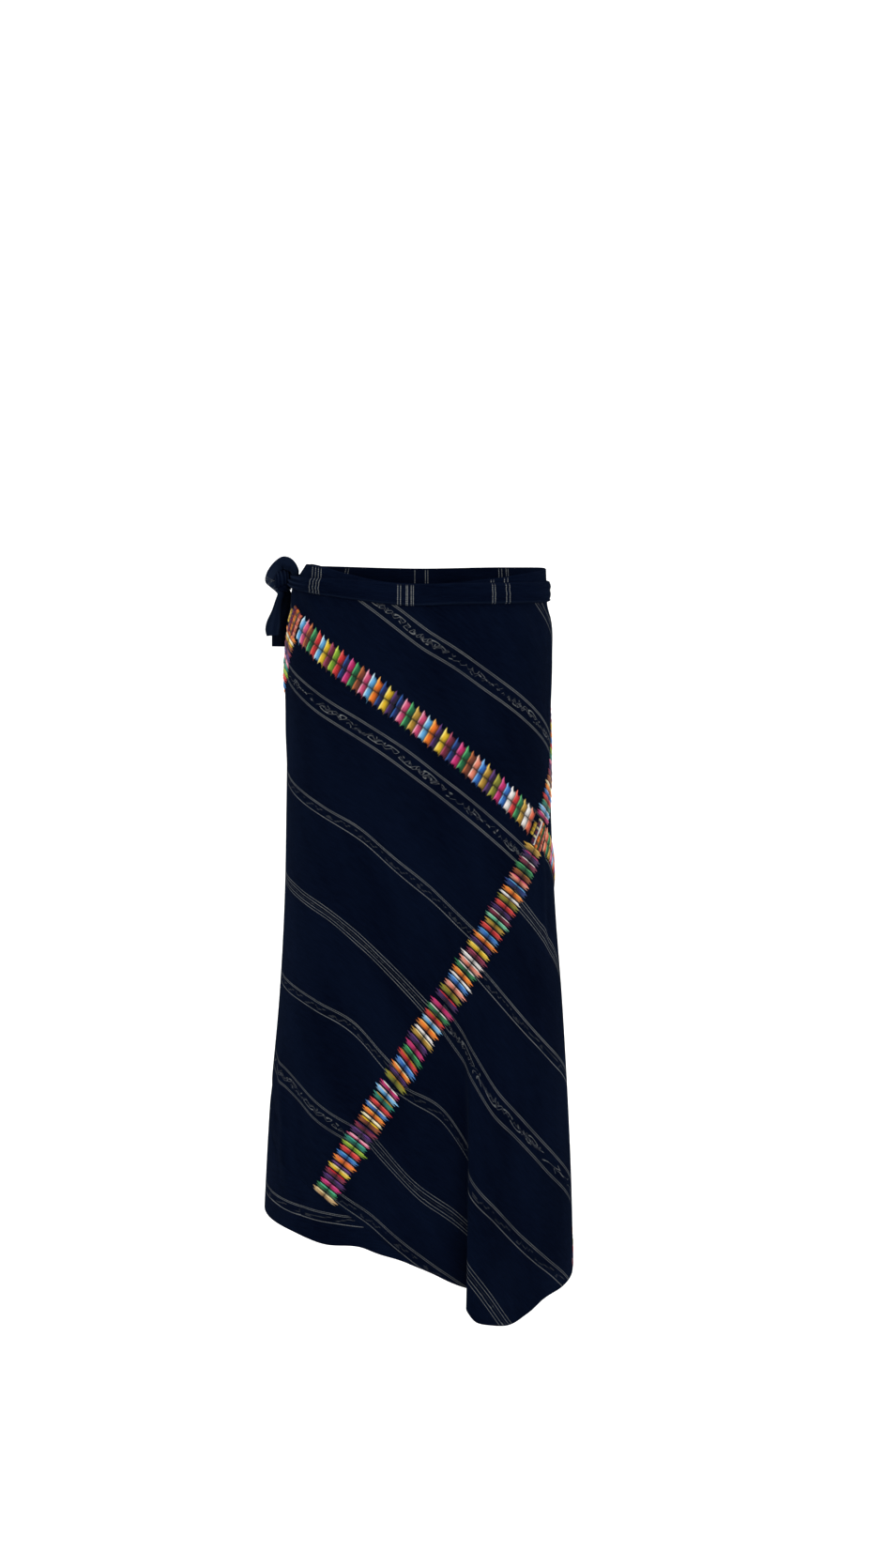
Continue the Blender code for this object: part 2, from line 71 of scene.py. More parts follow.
# height, wearer's right, wearer's left, front, back
SECTIONS = (
    (0.040, 0.1255, 0.1405, 0.0965, 0.1000),
    (0.030, 0.1308, 0.1412, 0.0970, 0.1005),
    (0.021, 0.1365, 0.1417, 0.0975, 0.1010),
    (0.013, 0.1435, 0.1421, 0.0980, 0.1015),
    (0.000, 0.1475, 0.1425, 0.0985, 0.1020),
    (-0.016, 0.1487, 0.1435, 0.1000, 0.1050),
    (-0.030, 0.1520, 0.1475, 0.1050, 0.1090),
    (-0.074, 0.1545, 0.1495, 0.1120, 0.1180),
    (-0.139, 0.1545, 0.1485, 0.1150, 0.1250),
    (-0.249, 0.1570, 0.1500, 0.1160, 0.1200),
    (-0.360, 0.1610, 0.1560, 0.1170, 0.1170),
    (-0.474, 0.1690, 0.1655, 0.1200, 0.1190),
    (-0.591, 0.1810, 0.1730, 0.1260, 0.1250),
    (-0.709, 0.1895, 0.1785, 0.1320, 0.1310),
    (-0.850, 0.1975, 0.1815, 0.1390, 0.1370),
)

DEEP_TURN = 0.0645
DEEP_HALF_WIDTH = 0.030
DEEP_START = -0.360
DEEP_FULL = -0.780
DEEP_SLIDE = 0.060
DEEP_DEPTH = 0.030
DEEP_MOST = 1.10
# Turns each side of the deep fold that have closer columns, and the room beside them in columns
FOLD_REACH = 0.085
FOLD_SPARE = 0.3

# turn, start height, depth at the hem (outwards positive), half width
SOFT_FOLDS = (
    (0.125, -0.400, -0.004, 0.022),
    (0.200, -0.350, 0.005, 0.030),
    (0.290, -0.300, -0.008, 0.030),
    (0.370, -0.320, 0.009, 0.032),
    (0.455, -0.280, -0.008, 0.034),
    (0.545, -0.300, 0.009, 0.034),
    (0.640, -0.340, -0.007, 0.030),
)
SOFT_GROWTH = 0.450

# turn, height. The overlap repeats the front a turn later, up to the inner end
FRONT_TOP = (
    (-0.310, 0.0300), (-0.180, 0.0286), (-0.120, 0.0190), (-0.075, 0.0120), (0.000, 0.0085),
    (0.045, 0.0090),
)
BAND_TOP = (
    *FRONT_TOP,
    (0.105, 0.0130), (0.190, 0.0215), (0.250, 0.0265), (0.350, 0.0290), (0.500, 0.0280),
    *((turn + 1, height) for turn, height in FRONT_TOP),
    (1.130, 0.0145),
)

# turn, height
HEM = (
    (-0.310, -0.742), (-0.225, -0.729), (-0.165, -0.726), (-0.1225, -0.7305), (-0.075, -0.7285),
    (-0.060, -0.7330), (-0.018, -0.7440), (0.006, -0.7560), (0.032, -0.7790), (0.060, -0.7900),
    (0.085, -0.7970), (0.092, -0.8070), (0.101, -0.8150), (0.115, -0.8245), (0.136, -0.8190),
    (0.155, -0.8080), (0.183, -0.8040), (0.208, -0.8005), (0.250, -0.8050), (0.350, -0.8000),
    (0.500, -0.7850), (0.620, -0.7650), (0.735, -0.7450),
)
UNDER_HEM = (
    (0.735, -0.7450), (0.800, -0.7250), (0.900, -0.7120), (1.000, -0.7250), (1.130, -0.7600),
)

# turn, height of the middle, half height
BELT = (
    (-0.2240, 0.0105, 0.0062),
    (-0.2000, 0.0085, 0.0072),
    (-0.1400, 0.0045, 0.0096),
    (-0.0900, 0.0005, 0.0110),
    (-0.0300, -0.0033, 0.0118),
    (0.0600, -0.0025, 0.0116),
    (0.2000, -0.0005, 0.0118),
    (0.3500, 0.0040, 0.0120),
    (0.5000, 0.0060, 0.0120),
    (0.6800, 0.0085, 0.0105),
    (0.7450, 0.0105, 0.0070),
)
BELT_SEAT = 0.0011
BELT_THICK = 0.0030
BELT_CROWN = 0.0005
BELT_GATHER = 0.0018
BELT_PLEATS = 0.0011
BELT_GROOVE = 0.0009
BELT_RIPPLES = (0.00035, 0.00025)
# Turns over which the pleats at each end of the belt fade out
GATHERED = (0.055, 0.075)
# share of the height, share of the thickness
WAISTBAND_PROFILE = (
    (0.97, 0.0), (0.5, 0.0), (0.03, 0.0), (0.0, 0.25), (0.0, 0.75),
    (0.03, 1.0), (0.5, 1.03), (0.97, 1.0), (1.0, 0.75), (1.0, 0.25),
)

# Seams as level and slope on the flat cloth
LONG_SEAM = (-0.1475, -0.772)
CROSS_SEAM = (-0.4940, 1.555)
EDGE_ARC = -0.158
BACK_ARC = 0.456
GORE_SEAM = (-0.7330, -0.500)
GORE_SEAM_LOW = (-0.7590, -0.760)
BELT_EDGE = (-0.0085, 0.0)
SAG_RISE = 0.0070
SAG_SPAN = 0.420
SAG_DROP = 0.0005
# How far stitches stay from where they end, and from the edges and the hem
CROSSING_CLEARANCE = 0.0169
BELT_CLEARANCE = 0.0005
GORE_CLEARANCE = 0.0005
HEM_CLEARANCE = 0.001
EDGE_TURN = 0.002
# Arc lengths from the middle of a crossing to the first stitches of a long seam and of a cross seam
LONG_START = 0.0128
CROSS_START = 0.0086
FRONT_START = 0.0104

KNOT_CENTRE = (-0.1554, -0.0095, 0.0120)
KNOT_HALF = (0.0098, 0.0145, 0.0125)
KNOT_RISE = 0.0006
KNOT_GROOVE = 0.0012
# Depth of the upright pleats and of the slanting ones
KNOT_PLEATS = (0.00042, 0.00045)
STRAP_SIDES = 36
# x, y, z, half width, half thickness, direction of the width (degrees from +X)
LOOP_CLOTH = (
    (-0.1590, -0.0092, -0.0050, 0.0050, 0.0022, 90),
    (-0.1622, -0.0090, 0.0012, 0.0062, 0.0026, 90),
    (-0.1676, -0.0092, 0.0066, 0.0076, 0.0030, 90),
    (-0.1728, -0.0095, 0.0122, 0.0086, 0.0034, 92),
    (-0.1700, -0.0098, 0.0190, 0.0090, 0.0046, 93),
    (-0.1652, -0.0102, 0.0255, 0.0092, 0.0050, 95),
    (-0.1604, -0.0110, 0.0308, 0.0094, 0.0046, 97),
    (-0.1552, -0.0125, 0.0340, 0.0094, 0.0046, 100),
    (-0.1500, -0.0148, 0.0326, 0.0090, 0.0050, 104),
    (-0.1455, -0.0180, 0.0284, 0.0084, 0.0050, 108),
    (-0.1420, -0.0208, 0.0232, 0.0074, 0.0042, 111),
    (-0.1412, -0.0214, 0.0176, 0.0062, 0.0030, 112),
)
TAIL_OUTER = (
    (-0.1574, -0.0136, 0.0004, 0.0040, 0.0022, -42),
    (-0.1612, -0.0142, -0.0110, 0.0052, 0.0020, -43),
    (-0.1640, -0.0158, -0.0225, 0.0080, 0.0017, -45),
    (-0.1668, -0.0172, -0.0335, 0.0122, 0.0016, -46),
    (-0.1682, -0.0180, -0.0420, 0.0130, 0.0016, -46),
    (-0.1678, -0.0184, -0.0490, 0.0112, 0.0016, -46),
)
TAIL_INNER_CLOTH = (
    (-0.1556, -0.0030, 0.0010, 0.0056, 0.0022, 70),
    (-0.1554, 0.0040, -0.0060, 0.0086, 0.0016, 45),
    (-0.1572, 0.0080, -0.0180, 0.0090, 0.0015, 32),
    (-0.1614, 0.0085, -0.0330, 0.0092, 0.0015, 30),
    (-0.1630, 0.0085, -0.0480, 0.0098, 0.0015, 30),
    (-0.1636, 0.0085, -0.0625, 0.0096, 0.0015, 30),
)

# Creases: from arc and height to arc and height, half width, depth (outwards positive)
CREASES = (
    (0.012, -0.016, 0.058, -0.056, 0.0050, -0.0016),
    (0.020, -0.014, 0.070, -0.050, 0.0050, 0.0010),
    (0.070, -0.014, 0.098, -0.045, 0.0045, -0.0014),
    (-0.155, -0.006, -0.095, -0.070, 0.0070, -0.0022),
    (-0.135, -0.004, -0.080, -0.058, 0.0060, 0.0014),
    (-0.112, -0.010, -0.075, -0.072, 0.0065, -0.0016),
    (-0.050, -0.016, -0.035, -0.050, 0.0060, -0.0010),
    (0.125, -0.012, 0.150, -0.060, 0.0070, -0.0012),
    (-0.191, -0.085, -0.190, -0.185, 0.0050, 0.0024),
    (-0.200, -0.095, -0.199, -0.170, 0.0045, -0.0018),
    (-0.187, -0.550, -0.172, -0.665, 0.0075, 0.0030),
    (-0.232, -0.585, -0.180, -0.612, 0.0080, -0.0026),
    (-0.225, -0.625, -0.190, -0.640, 0.0070, -0.0018),
    (-0.150, -0.580, -0.140, -0.700, 0.0120, -0.0018),
    (0.120, -0.430, 0.175, -0.480, 0.0100, -0.0012),
    (0.153, -0.305, 0.155, -0.385, 0.0050, 0.0026),
    (0.166, -0.300, 0.168, -0.395, 0.0050, -0.0020),
    (0.235, -0.012, 0.215, -0.070, 0.0070, -0.0016),
    (0.290, -0.010, 0.270, -0.062, 0.0060, -0.0013),
    (0.352, -0.008, 0.345, -0.080, 0.0075, -0.0017),
    (0.418, -0.008, 0.425, -0.055, 0.0060, -0.0012),
    (0.470, -0.006, 0.490, -0.075, 0.0070, -0.0016),
    (0.535, -0.004, 0.560, -0.060, 0.0065, -0.0014),
)
# How far creases bend, in half widths, run past their ends, and fade there, in lengths
CREASE_BEND = 0.15
CREASE_OVERRUN = 0.35
CREASE_FADES = (0.5, 0.7)

# Woven stripes: number, then places on the cloth as arc and height. Numbers 1, 5 and 9 carry figures,
# 3, 7 and 11 are sets of thin lines, and the others are small
STRIPES_UPPER = (
    (0, ((0.148, -0.013), (0.173, -0.035))),
    (1, ((-0.021, -0.031), (0.005, -0.050), (0.036, -0.069), (0.070, -0.093), (0.110, -0.120))),
)
STRIPES_FRONT = (
    (1, ((-0.181, -0.087), (-0.119, -0.119), (-0.064, -0.148), (-0.009, -0.184), (0.037, -0.220),
        (0.113, -0.285))),
    (2, ((-0.174, -0.214), (-0.109, -0.240), (-0.065, -0.262), (-0.026, -0.295), (0.013, -0.327),
        (0.053, -0.368))),
    (3, ((-0.196, -0.324), (-0.146, -0.337), (-0.100, -0.356), (-0.068, -0.379), (-0.018, -0.428),
        (0.007, -0.456))),
    (4, ((-0.209, -0.441), (-0.124, -0.459), (-0.073, -0.482), (-0.042, -0.516))),
    (5, ((-0.203, -0.544), (-0.159, -0.558), (-0.121, -0.581), (-0.079, -0.600))),
    (6, ((-0.203, -0.700), (-0.079, -0.760))),
)
STRIPES_SIDE = (
    (3, ((0.000, -0.217), (0.100, -0.326))),
    (4, ((0.068, -0.421), (0.100, -0.458), (0.128, -0.489), (0.162, -0.522), (0.203, -0.555))),
    (5, ((0.037, -0.486), (0.088, -0.562), (0.119, -0.592), (0.172, -0.643), (0.217, -0.681))),
    (6, ((-0.014, -0.553), (0.019, -0.574), (0.077, -0.661), (0.110, -0.692), (0.149, -0.728),
        (0.236, -0.798))),
    (7, ((-0.044, -0.620), (-0.009, -0.659), (0.038, -0.697), (0.094, -0.758), (0.142, -0.810))),
    (8, ((-0.091, -0.677), (-0.059, -0.696), (-0.036, -0.716), (-0.013, -0.735), (0.008, -0.752))),
)
STRIPES_BACK = ((0, ((0.200, -0.136), (0.400, -0.292))), (1, ((0.200, -0.256), (0.400, -0.412))))
STRIPES_BACK_EDGE = ((2, ((0.500, -0.100), (0.700, -0.256))), (3, ((0.500, -0.207), (0.700, -0.363))))
STRIPES_BACK_LOW = ((5, ((0.500, -0.560), (0.600, -0.650))), (6, ((0.500, -0.667), (0.600, -0.757))))
STRIPES_GORE = (
    (3, ((-0.218, -0.540), (-0.075, -0.540))),
    (4, ((-0.218, -0.699), (-0.075, -0.699))),
    (5, ((-0.218, -0.795), (-0.075, -0.800))),
)
STRIPES_UNDER = ((0, ((0.600, -0.062), (1.000, -0.070))), (1, ((0.600, -0.162), (1.000, -0.170))))
# Beyond a panel's rows stripes go on at this step, this many each way. Places between two stripes
# are divided by their spacing, or by the least one
STRIPE_STEP = 0.107
MORE_STRIPES = 9
LEAST_SPACING = 0.02
# The slope at which places along the stripes are measured, and their shift from row to row
STRIPE_SLOPE = 0.8
STRIPE_SHIFT = 0.35

# Woven bands in mm: their lines' distances from the middle, and a fine line's half width and soft edge
BORDER_LINES = (8.1, 9.9)
PAIR_LINES = (2.7, 5.7)
SMALL_LINE = 5.2
FINE_LINE = (0.15, 0.26)
FIGURE_THREAD = 0.9
BAND_WAVER = 3.0
FIGURE_STEP = 68.0
FIGURE_STRETCH = 1.35
# Figures in mm along and across a band: lines, and rings as middle, radii and tilt in degrees
FIGURES = (
    (
        ("ring", -7.0, 0.4, 8.6, 3.5, -6),
        ("line", -11.0, 1.4, -2.0, -0.6),
        ("line", 3.4, 3.2, 9.4, -2.6),
        ("ring", 12.6, -0.6, 3.0, 2.6, 0),
    ),
    (
        ("ring", -18.0, 0.8, 0.6, 0.6, 0),
        ("line", -14.6, 3.4, -13.2, -3.4),
        ("line", -10.0, 2.8, -4.6, -2.8),
        ("line", -10.0, -2.6, -4.6, 3.0),
        ("ring", 6.6, -0.2, 8.8, 2.9, 7),
    ),
    (
        ("line", -17.0, 3.6, -11.6, -2.0),
        ("line", -11.6, -2.0, -5.6, 2.2),
        ("ring", 4.4, 0.2, 7.6, 3.5, -9),
        ("line", 0.6, 0.6, 7.6, -0.4),
        ("line", 12.4, -2.0, 17.0, 2.8),
    ),
    (
        ("line", -15.0, 3.8, -2.6, 0.2),
        ("line", -2.6, 0.2, -14.0, -3.6),
        ("line", 1.4, -0.4, 16.0, 0.6),
        ("line", 4.4, 0.0, 8.6, 4.0),
        ("line", 8.6, 0.2, 12.8, -3.6),
    ),
)

# The cloth's threads in metres, and its linear colours
CLOTH_PER_STRIPE = 0.086
DOT_STEP = 0.0023
DASHES_PER_METRE = 22.0
WEAVE_STEP = 0.0009
BAND_HALF = 0.013
MARK_DOT_STEP = 0.0022
STRAND_STEP = 0.00055
CLOTH_BUMP = 0.00012
THREAD_BUMP = 0.00015
NAVY_LOW = (0.0007, 0.0016, 0.0054)
NAVY_HIGH = (0.0018, 0.0038, 0.0115)
NAVY_LIT = (0.0090, 0.0150, 0.0300)
UNDYED = (0.165, 0.175, 0.175)
# Arc lengths of the undyed threads across the tie
TIE_MARKS = (
    -0.1262, -0.1212, -0.1168, -0.1130, -0.0234, -0.0204, -0.0144, -0.0130, -0.0092, -0.0070, 0.0776, 0.0806,
    0.0936, 0.0978, 0.1800, 0.1846, 0.1890, 0.2830, 0.2858, 0.2920, 0.2960, 0.3860, 0.3890, 0.4020, 0.4900,
    0.4946, 0.4988, 0.5030,
)

# Embroidery: sizes in metres, and shares of a block's or bar's width or reach

LONG_PITCH = 0.0075
LONG_STAGGER = 0.0005
LONG_LEAN = 0.10
CROSS_REACH = 0.0158
BAR_STRETCH = 0.001104
BAR_OVERLAP = 0.0002
THIN_BAR = 0.005
# Share of the half width at which a bar still has to fit
BAR_ROOM = 0.9
STITCH_HEIGHT = 0.0016
STITCH_FLOOR = 0.0002
# Below this height the stitches lie flat against the hem, at this share of their height
HEM_STITCHES = (-0.700, 0.4)
CROSSING_MOTIF_HALF = 0.0160
CROSSING_DROP = 0.0030
SQUARE_POWER = 3.5
CORD_BEND = 0.0010
CORD_OVERLAP = 0.0004
LONG_COLOURS = (
    "sky pink brown green red sky yellow maroon lime red navy magenta green brown pink sky orange "
    "navy yellow purple navy pink green gold pink sky orange purple yellow maroon navy magenta "
    "green brown salmon blue gold purple olive magenta blue white red green gold white coral sky"
)
# Threads and width in mm, in order from the crossing. Of two threads, the first is the bar's upper edge
CROSS_BARS = (
    "gold 8.0 magenta+purple 8.2 white+maroon 7.4 green 6.9 gold+brown 6.7 pink+salmon 7.0 sky+navy 8.0 "
    "orange 6.6 white 3.6 gold+olive 6.6 red 6.2 purple 5.4 white+maroon 5.8 mint 4.6 olive+gold 6.4 "
    "red 6.2 sky+blue 6.6 cream+orange 6.2 purple 5.4 yellow 6.4 maroon 6.4 white 4.6 white+salmon 6.8 "
    "white+green 6.6 orange 6.2 white 3.4 blue 6.4 salmon 6.6 gold+olive 7.0 red+purple 7.6 gap 3.0 "
    "pink+magenta 6.2 white+green 6.6 gold+red 6.4 white+sky 6.0 orange 7.2 white 4.2 cream+gold 6.6 "
    "purple 7.0 pink+magenta 6.0 green 6.4 gold+red 6.8 blue 7.0 cream+orange 6.0 purple 4.6 "
    "gold+olive 7.6 gap 3.2 white+magenta 6.0 white+sky 6.4 gold+teal 7.4 red 5.4 white+blue 5.6 "
    "orange 5.6 cream 3.6 yellow+brown 7.4 purple+maroon 6.6 purple 6.8 pink 4.4 teal 6.2 lime 5.0 "
    "red 6.4 sky+blue 5.6 salmon+orange 7.0 purple 3.4 cream+yellow 6.0 red+maroon 6.6 purple 6.2 "
    "magenta 6.0 mint+green 6.4 cream+tan 6.2"
)
HIDDEN_COLOURS = (
    "coral green gold pink sky orange magenta navy yellow maroon lime red blue salmon green purple"
)
# The bar at which a hidden cross band starts, for each letter of its name
HIDDEN_START = 13
# How much the bars lean down towards the wearer's left, along the seam
CROSS_LEAN = (
    (0.00, 0.00), (0.20, 0.12), (0.35, 0.25), (0.50, 0.28), (0.60, 0.42), (0.70, 0.27), (0.80, 0.10),
    (1.00, 0.03),
)
# Strands of a bar from its upper edge: place, half width, height, reach, brightness. The brightness paints a
# highlight below the upper edge and shade on the lower strands
BAR_STRANDS = (
    (-0.34, 0.09, 1.00, 0.84, 1.00),
    (-0.16, 0.13, 1.15, 1.11, 1.10),
    (0.05, 0.13, 1.10, 0.85, 0.85),
    (0.23, 0.11, 0.80, 1.03, 0.36),
)
THIN_STRANDS = ((-0.16, 0.20, 1.00, 0.90, 1.00), (0.14, 0.18, 0.85, 1.05, 0.75))
# Strands of a block: place, half width, height. Their reaches turn round from side to side
BLOCK_STRANDS = (
    (-0.5, 0.155, 0.85), (-0.25, 0.140, 1.05), (0.0, 0.140, 1.10), (0.25, 0.135, 1.00), (0.5, 0.110, 0.75),
)
BLOCK_REACHES = (1.09, 0.94, 0.85, 0.86, 0.96)
# How wide a block is at its foot and its tips, and a dark one beside others
BLOCK_FOOT = 0.82
BLOCK_TIP = 0.98
DARK_BLOCK = 0.76
DARK_THREADS = ("navy", "purple")
# Share of the length, of the half width and of the height, brightness, share of the highlight tone
# Brightness paints shade dark at the foot, in the notch along the seam, and at the tip; the highlight tone
# paints a highlight on the outer part
FINGER = (
    (0.0, 0.66, 0.25, 0.10, 0.0),
    (0.10, 0.88, 0.74, 0.60, 0.0),
    (0.30, 1.0, 1.0, 1.0, 0.0),
    (0.70, 1.0, 0.95, 1.08, 0.28),
    (0.86, 0.64, 0.62, 1.0, 0.20),
    (1.0, 0.05, 0.15, 0.75, 0.0),
)
CORD = ((0.0, 1.0, 1.0, 1.0, 0.0), (0.5, 1.0, 1.0, 1.0, 0.2), (1.0, 1.0, 1.0, 1.0, 0.0))
FINGER_SIDES = 5
# sRGB of the thread and of its painted highlight
THREADS = {
    "sky": ((0.36, 0.66, 0.86), (0.80, 0.92, 0.97)),
    "white": ((0.90, 0.88, 0.86), (0.98, 0.97, 0.96)),
    "pink": ((0.80, 0.26, 0.45), (0.96, 0.66, 0.74)),
    "magenta": ((0.72, 0.08, 0.38), (0.88, 0.36, 0.60)),
    "brown": ((0.46, 0.21, 0.12), (0.80, 0.46, 0.26)),
    "orange": ((0.92, 0.45, 0.08), (0.98, 0.72, 0.35)),
    "green": ((0.03, 0.38, 0.22), (0.36, 0.74, 0.46)),
    "lime": ((0.45, 0.62, 0.12), (0.76, 0.84, 0.34)),
    "red": ((0.76, 0.12, 0.16), (0.93, 0.42, 0.36)),
    "yellow": ((0.88, 0.72, 0.10), (0.98, 0.90, 0.46)),
    "maroon": ((0.42, 0.09, 0.20), (0.70, 0.30, 0.42)),
    "navy": ((0.05, 0.12, 0.36), (0.18, 0.38, 0.68)),
    "purple": ((0.18, 0.07, 0.27), (0.40, 0.24, 0.52)),
    "gold": ((0.66, 0.50, 0.14), (0.90, 0.76, 0.38)),
    "salmon": ((0.88, 0.50, 0.40), (0.98, 0.80, 0.72)),
    "coral": ((0.84, 0.36, 0.24), (0.96, 0.66, 0.52)),
    "blue": ((0.10, 0.38, 0.70), (0.50, 0.72, 0.92)),
    "mint": ((0.36, 0.76, 0.58), (0.74, 0.94, 0.82)),
    "teal": ((0.02, 0.42, 0.36), (0.30, 0.70, 0.60)),
    "tan": ((0.72, 0.56, 0.36), (0.92, 0.84, 0.66)),
    "cream": ((0.93, 0.86, 0.64), (0.99, 0.96, 0.84)),
    "olive": ((0.46, 0.46, 0.10), (0.72, 0.70, 0.28)),
}

# The studio and the camera

SWEEP_HALF_WIDTH = 6.0
SWEEP_FRONT = -5.0
SWEEP_BEND = 3.0
SWEEP_RADIUS = 1.5
SWEEP_FLOOR = -1.045
SWEEP_TOP = 6.0
PHOTO_PIXELS = 1670
FOCAL_PIXELS = 1450
CAMERA_PLACE = (0.0235, -1.566, -0.001)
CAMERA_TILT = 8

# Places of the surfaces' rings and of the points on them
TABLE_TURNS = np.linspace(-0.34, 1.20, 3081)
TABLE_HEIGHTS = np.linspace(0.040, -0.860, 226)


def density(full):
    return full


def smooth_step(q):
    q = np.clip(q, 0.0, 1.0)
    return q * q * (3 - 2 * q)


def curve_through(rows, column, at):
    """A smooth curve through a table's rows, by its first column and the given one."""
    table = np.array(rows, float)
    places, values = table[:, 0], table[:, column]
    slopes = np.gradient(values, places)
    i = np.clip(np.searchsorted(places, at) - 1, 0, len(places) - 2)
    gap = places[i + 1] - places[i]
    q = np.clip((at - places[i]) / gap, 0.0, 1.0)
    start = (2 * q**3 - 3 * q**2 + 1) * values[i] + (q**3 - 2 * q**2 + q) * gap * slopes[i]
    end = (3 * q**2 - 2 * q**3) * values[i + 1] + (q**3 - q**2) * gap * slopes[i + 1]
    return start + end


def column_at(turn):
    return int(np.argmin(np.abs(TABLE_TURNS - turn)))


def arc_length(x, y):
    """Arc lengths along each ring, from the front centre."""
    step = np.hypot(np.diff(x, axis=1), np.diff(y, axis=1))
    arc = np.concatenate([np.zeros((len(x), 1)), np.cumsum(step, axis=1)], axis=1)
    return arc - arc[:, [column_at(0)]]


def body_rings():
    rising = SECTIONS[::-1]
    right, left, front, back = (curve_through(rising, c, TABLE_HEIGHTS)[:, None] for c in range(1, 5))
    angle = 2 * math.pi * TABLE_TURNS[None, :]
    side = np.where(np.sin(angle) > 0, left, right)
    depth = np.where(np.cos(angle) > 0, front, back)
    n = SQUARENESS
    radius = (np.abs(np.sin(angle) / side) ** n + np.abs(np.cos(angle) / depth) ** n) ** (-1 / n)
    return radius * np.sin(angle), -radius * np.cos(angle)


def hang_cloth(x, y):
    """The body's rings, moved to where the cloth hangs: tucked in at the back, with its folds."""
    turns, heights = TABLE_TURNS[None, :], TABLE_HEIGHTS[:, None]
    arc = arc_length(x, y)
    along_x, along_y = np.gradient(x, axis=1), np.gradient(y, axis=1)
    size = np.hypot(along_x, along_y)
    along_x, along_y = along_x / size, along_y / size
    tucked = smooth_step((turns - TUCK_FROM) / (TUCK_TO - TUCK_FROM))
    out = -(TUCK + HANG_IN * smooth_step((HANG_FROM - heights) / HANG_SPAN)) * tucked
    grown = np.clip((DEEP_START - heights) / (DEEP_START - DEEP_FULL), 0.0, DEEP_MOST)
    q = (arc - arc[:, [column_at(DEEP_TURN)]]) / DEEP_HALF_WIDTH
    doubled = grown * q * np.exp(-q * q)
    out = out + DEEP_DEPTH * doubled
    for turn, start, depth, half_width in SOFT_FOLDS:
        away = (turns - turn) * arc[:, [column_at(1)]] / half_width
        out = out + depth * smooth_step((start - heights) / SOFT_GROWTH) * np.exp(-away * away)
    slide = -DEEP_SLIDE * doubled
    return x + along_y * out + along_x * slide, y - along_x * out + along_y * slide


def outward(x, y):
    across = np.stack([np.gradient(x, axis=1), np.gradient(y, axis=1), np.zeros_like(x)], axis=-1)
    fall = np.gradient(TABLE_HEIGHTS)[:, None] * np.ones_like(x)
    down = np.stack([np.gradient(x, axis=0), np.gradient(y, axis=0), fall], axis=-1)
    out = np.cross(down, across)
    return out / np.linalg.norm(out, axis=-1, keepdims=True)


def table_place(steps, values):
    """The step before each value in an even table, and how far past it the value is."""
    place = (values - steps[0]) / (steps[1] - steps[0])
    before = np.clip(place.astype(int), 0, len(steps) - 2)
    return before, place - before


class Surface:
    """A surface as a table of rings, read at any turns and heights."""

    def __init__(self, x, y):
        self.x, self.y = x, y
        self.arc = arc_length(x, y)
        self.out = outward(x, y)

    def read(self, turn, height):
        """Points, outward directions and arc lengths, for arrays of turns and heights."""
        turn, height = np.broadcast_arrays(np.asarray(turn, float), np.asarray(height, float))
        i, p = table_place(TABLE_HEIGHTS, height)
        j, q = table_place(TABLE_TURNS, turn)

        def mix(table):
            shares = [(1 - p) * (1 - q), (1 - p) * q, p * (1 - q), p * q]
            corners = [table[i, j], table[i, j + 1], table[i + 1, j], table[i + 1, j + 1]]
            if table.ndim > 2:
                shares = [share[..., None] for share in shares]
            return sum(share * corner for share, corner in zip(shares, corners))

        out = mix(self.out)
        out = out / np.linalg.norm(out, axis=-1, keepdims=True)
        return np.stack([mix(self.x), mix(self.y), height], axis=-1), out, mix(self.arc)

    def turns_at(self, arc, height):
        """Turns of places given by arc length and height."""
        arc, height = np.broadcast_arrays(np.asarray(arc, float), np.asarray(height, float))
        rows = np.round((TABLE_HEIGHTS[0] - height) / (TABLE_HEIGHTS[0] - TABLE_HEIGHTS[1])).astype(int)
        rows = np.clip(rows, 0, len(TABLE_HEIGHTS) - 1)
        turns = np.empty(arc.shape)
        for row in np.unique(rows):
            here = rows == row
            turns[here] = np.interp(arc[here], self.arc[row], TABLE_TURNS)
        return turns


def sag(arc):
    return SAG_RISE * np.cos(2 * math.pi * arc / SAG_SPAN) - SAG_DROP


def crease_offset(arc, height):
    """How far small creases move the cloth along its outward direction."""
    total = np.zeros(np.broadcast(arc, height).shape)
    for arc_a, height_a, arc_b, height_b, half_width, depth in CREASES:
        run, fall = arc_b - arc_a, height_b - height_a
        length = math.hypot(run, fall)
        share = ((arc - arc_a) * run + (height - height_a) * fall) / length**2
        away = ((arc - arc_a) * fall - (height - height_a) * run) / length
        bend = CREASE_BEND * half_width * np.sin(6 * share)
        fade_in = smooth_step((share + CREASE_OVERRUN) / CREASE_FADES[0])
        fade_out = smooth_step((1 + CREASE_OVERRUN - share) / CREASE_FADES[1])
        total = total + depth * fade_in * fade_out * np.exp(-(((away + bend) / half_width) ** 2))
    return total


def finish_piece(piece, material, replaced):
    piece.data.materials.append(material)
    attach(piece, "root")
    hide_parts(replaced)
    return piece


def new_mesh(name, points, faces, sharp=60):
    """A smooth mesh, with edges sharper than an angle in degrees left sharp."""
    mesh = bpy.data.meshes.new(name)
    mesh.from_pydata([tuple(map(float, p)) for p in points], [], faces)
    mesh.validate()
    mesh.shade_smooth()
    mesh.set_sharp_from_angle(angle=math.radians(sharp))
    made = bpy.data.objects.new(name, mesh)
    bpy.context.scene.collection.objects.link(made)
    return made


def add_vectors(piece, name, values):
    attribute = piece.data.attributes.new(name, "FLOAT_VECTOR", "POINT")
    attribute.data.foreach_set("vector", np.asarray(values, np.float32).ravel())


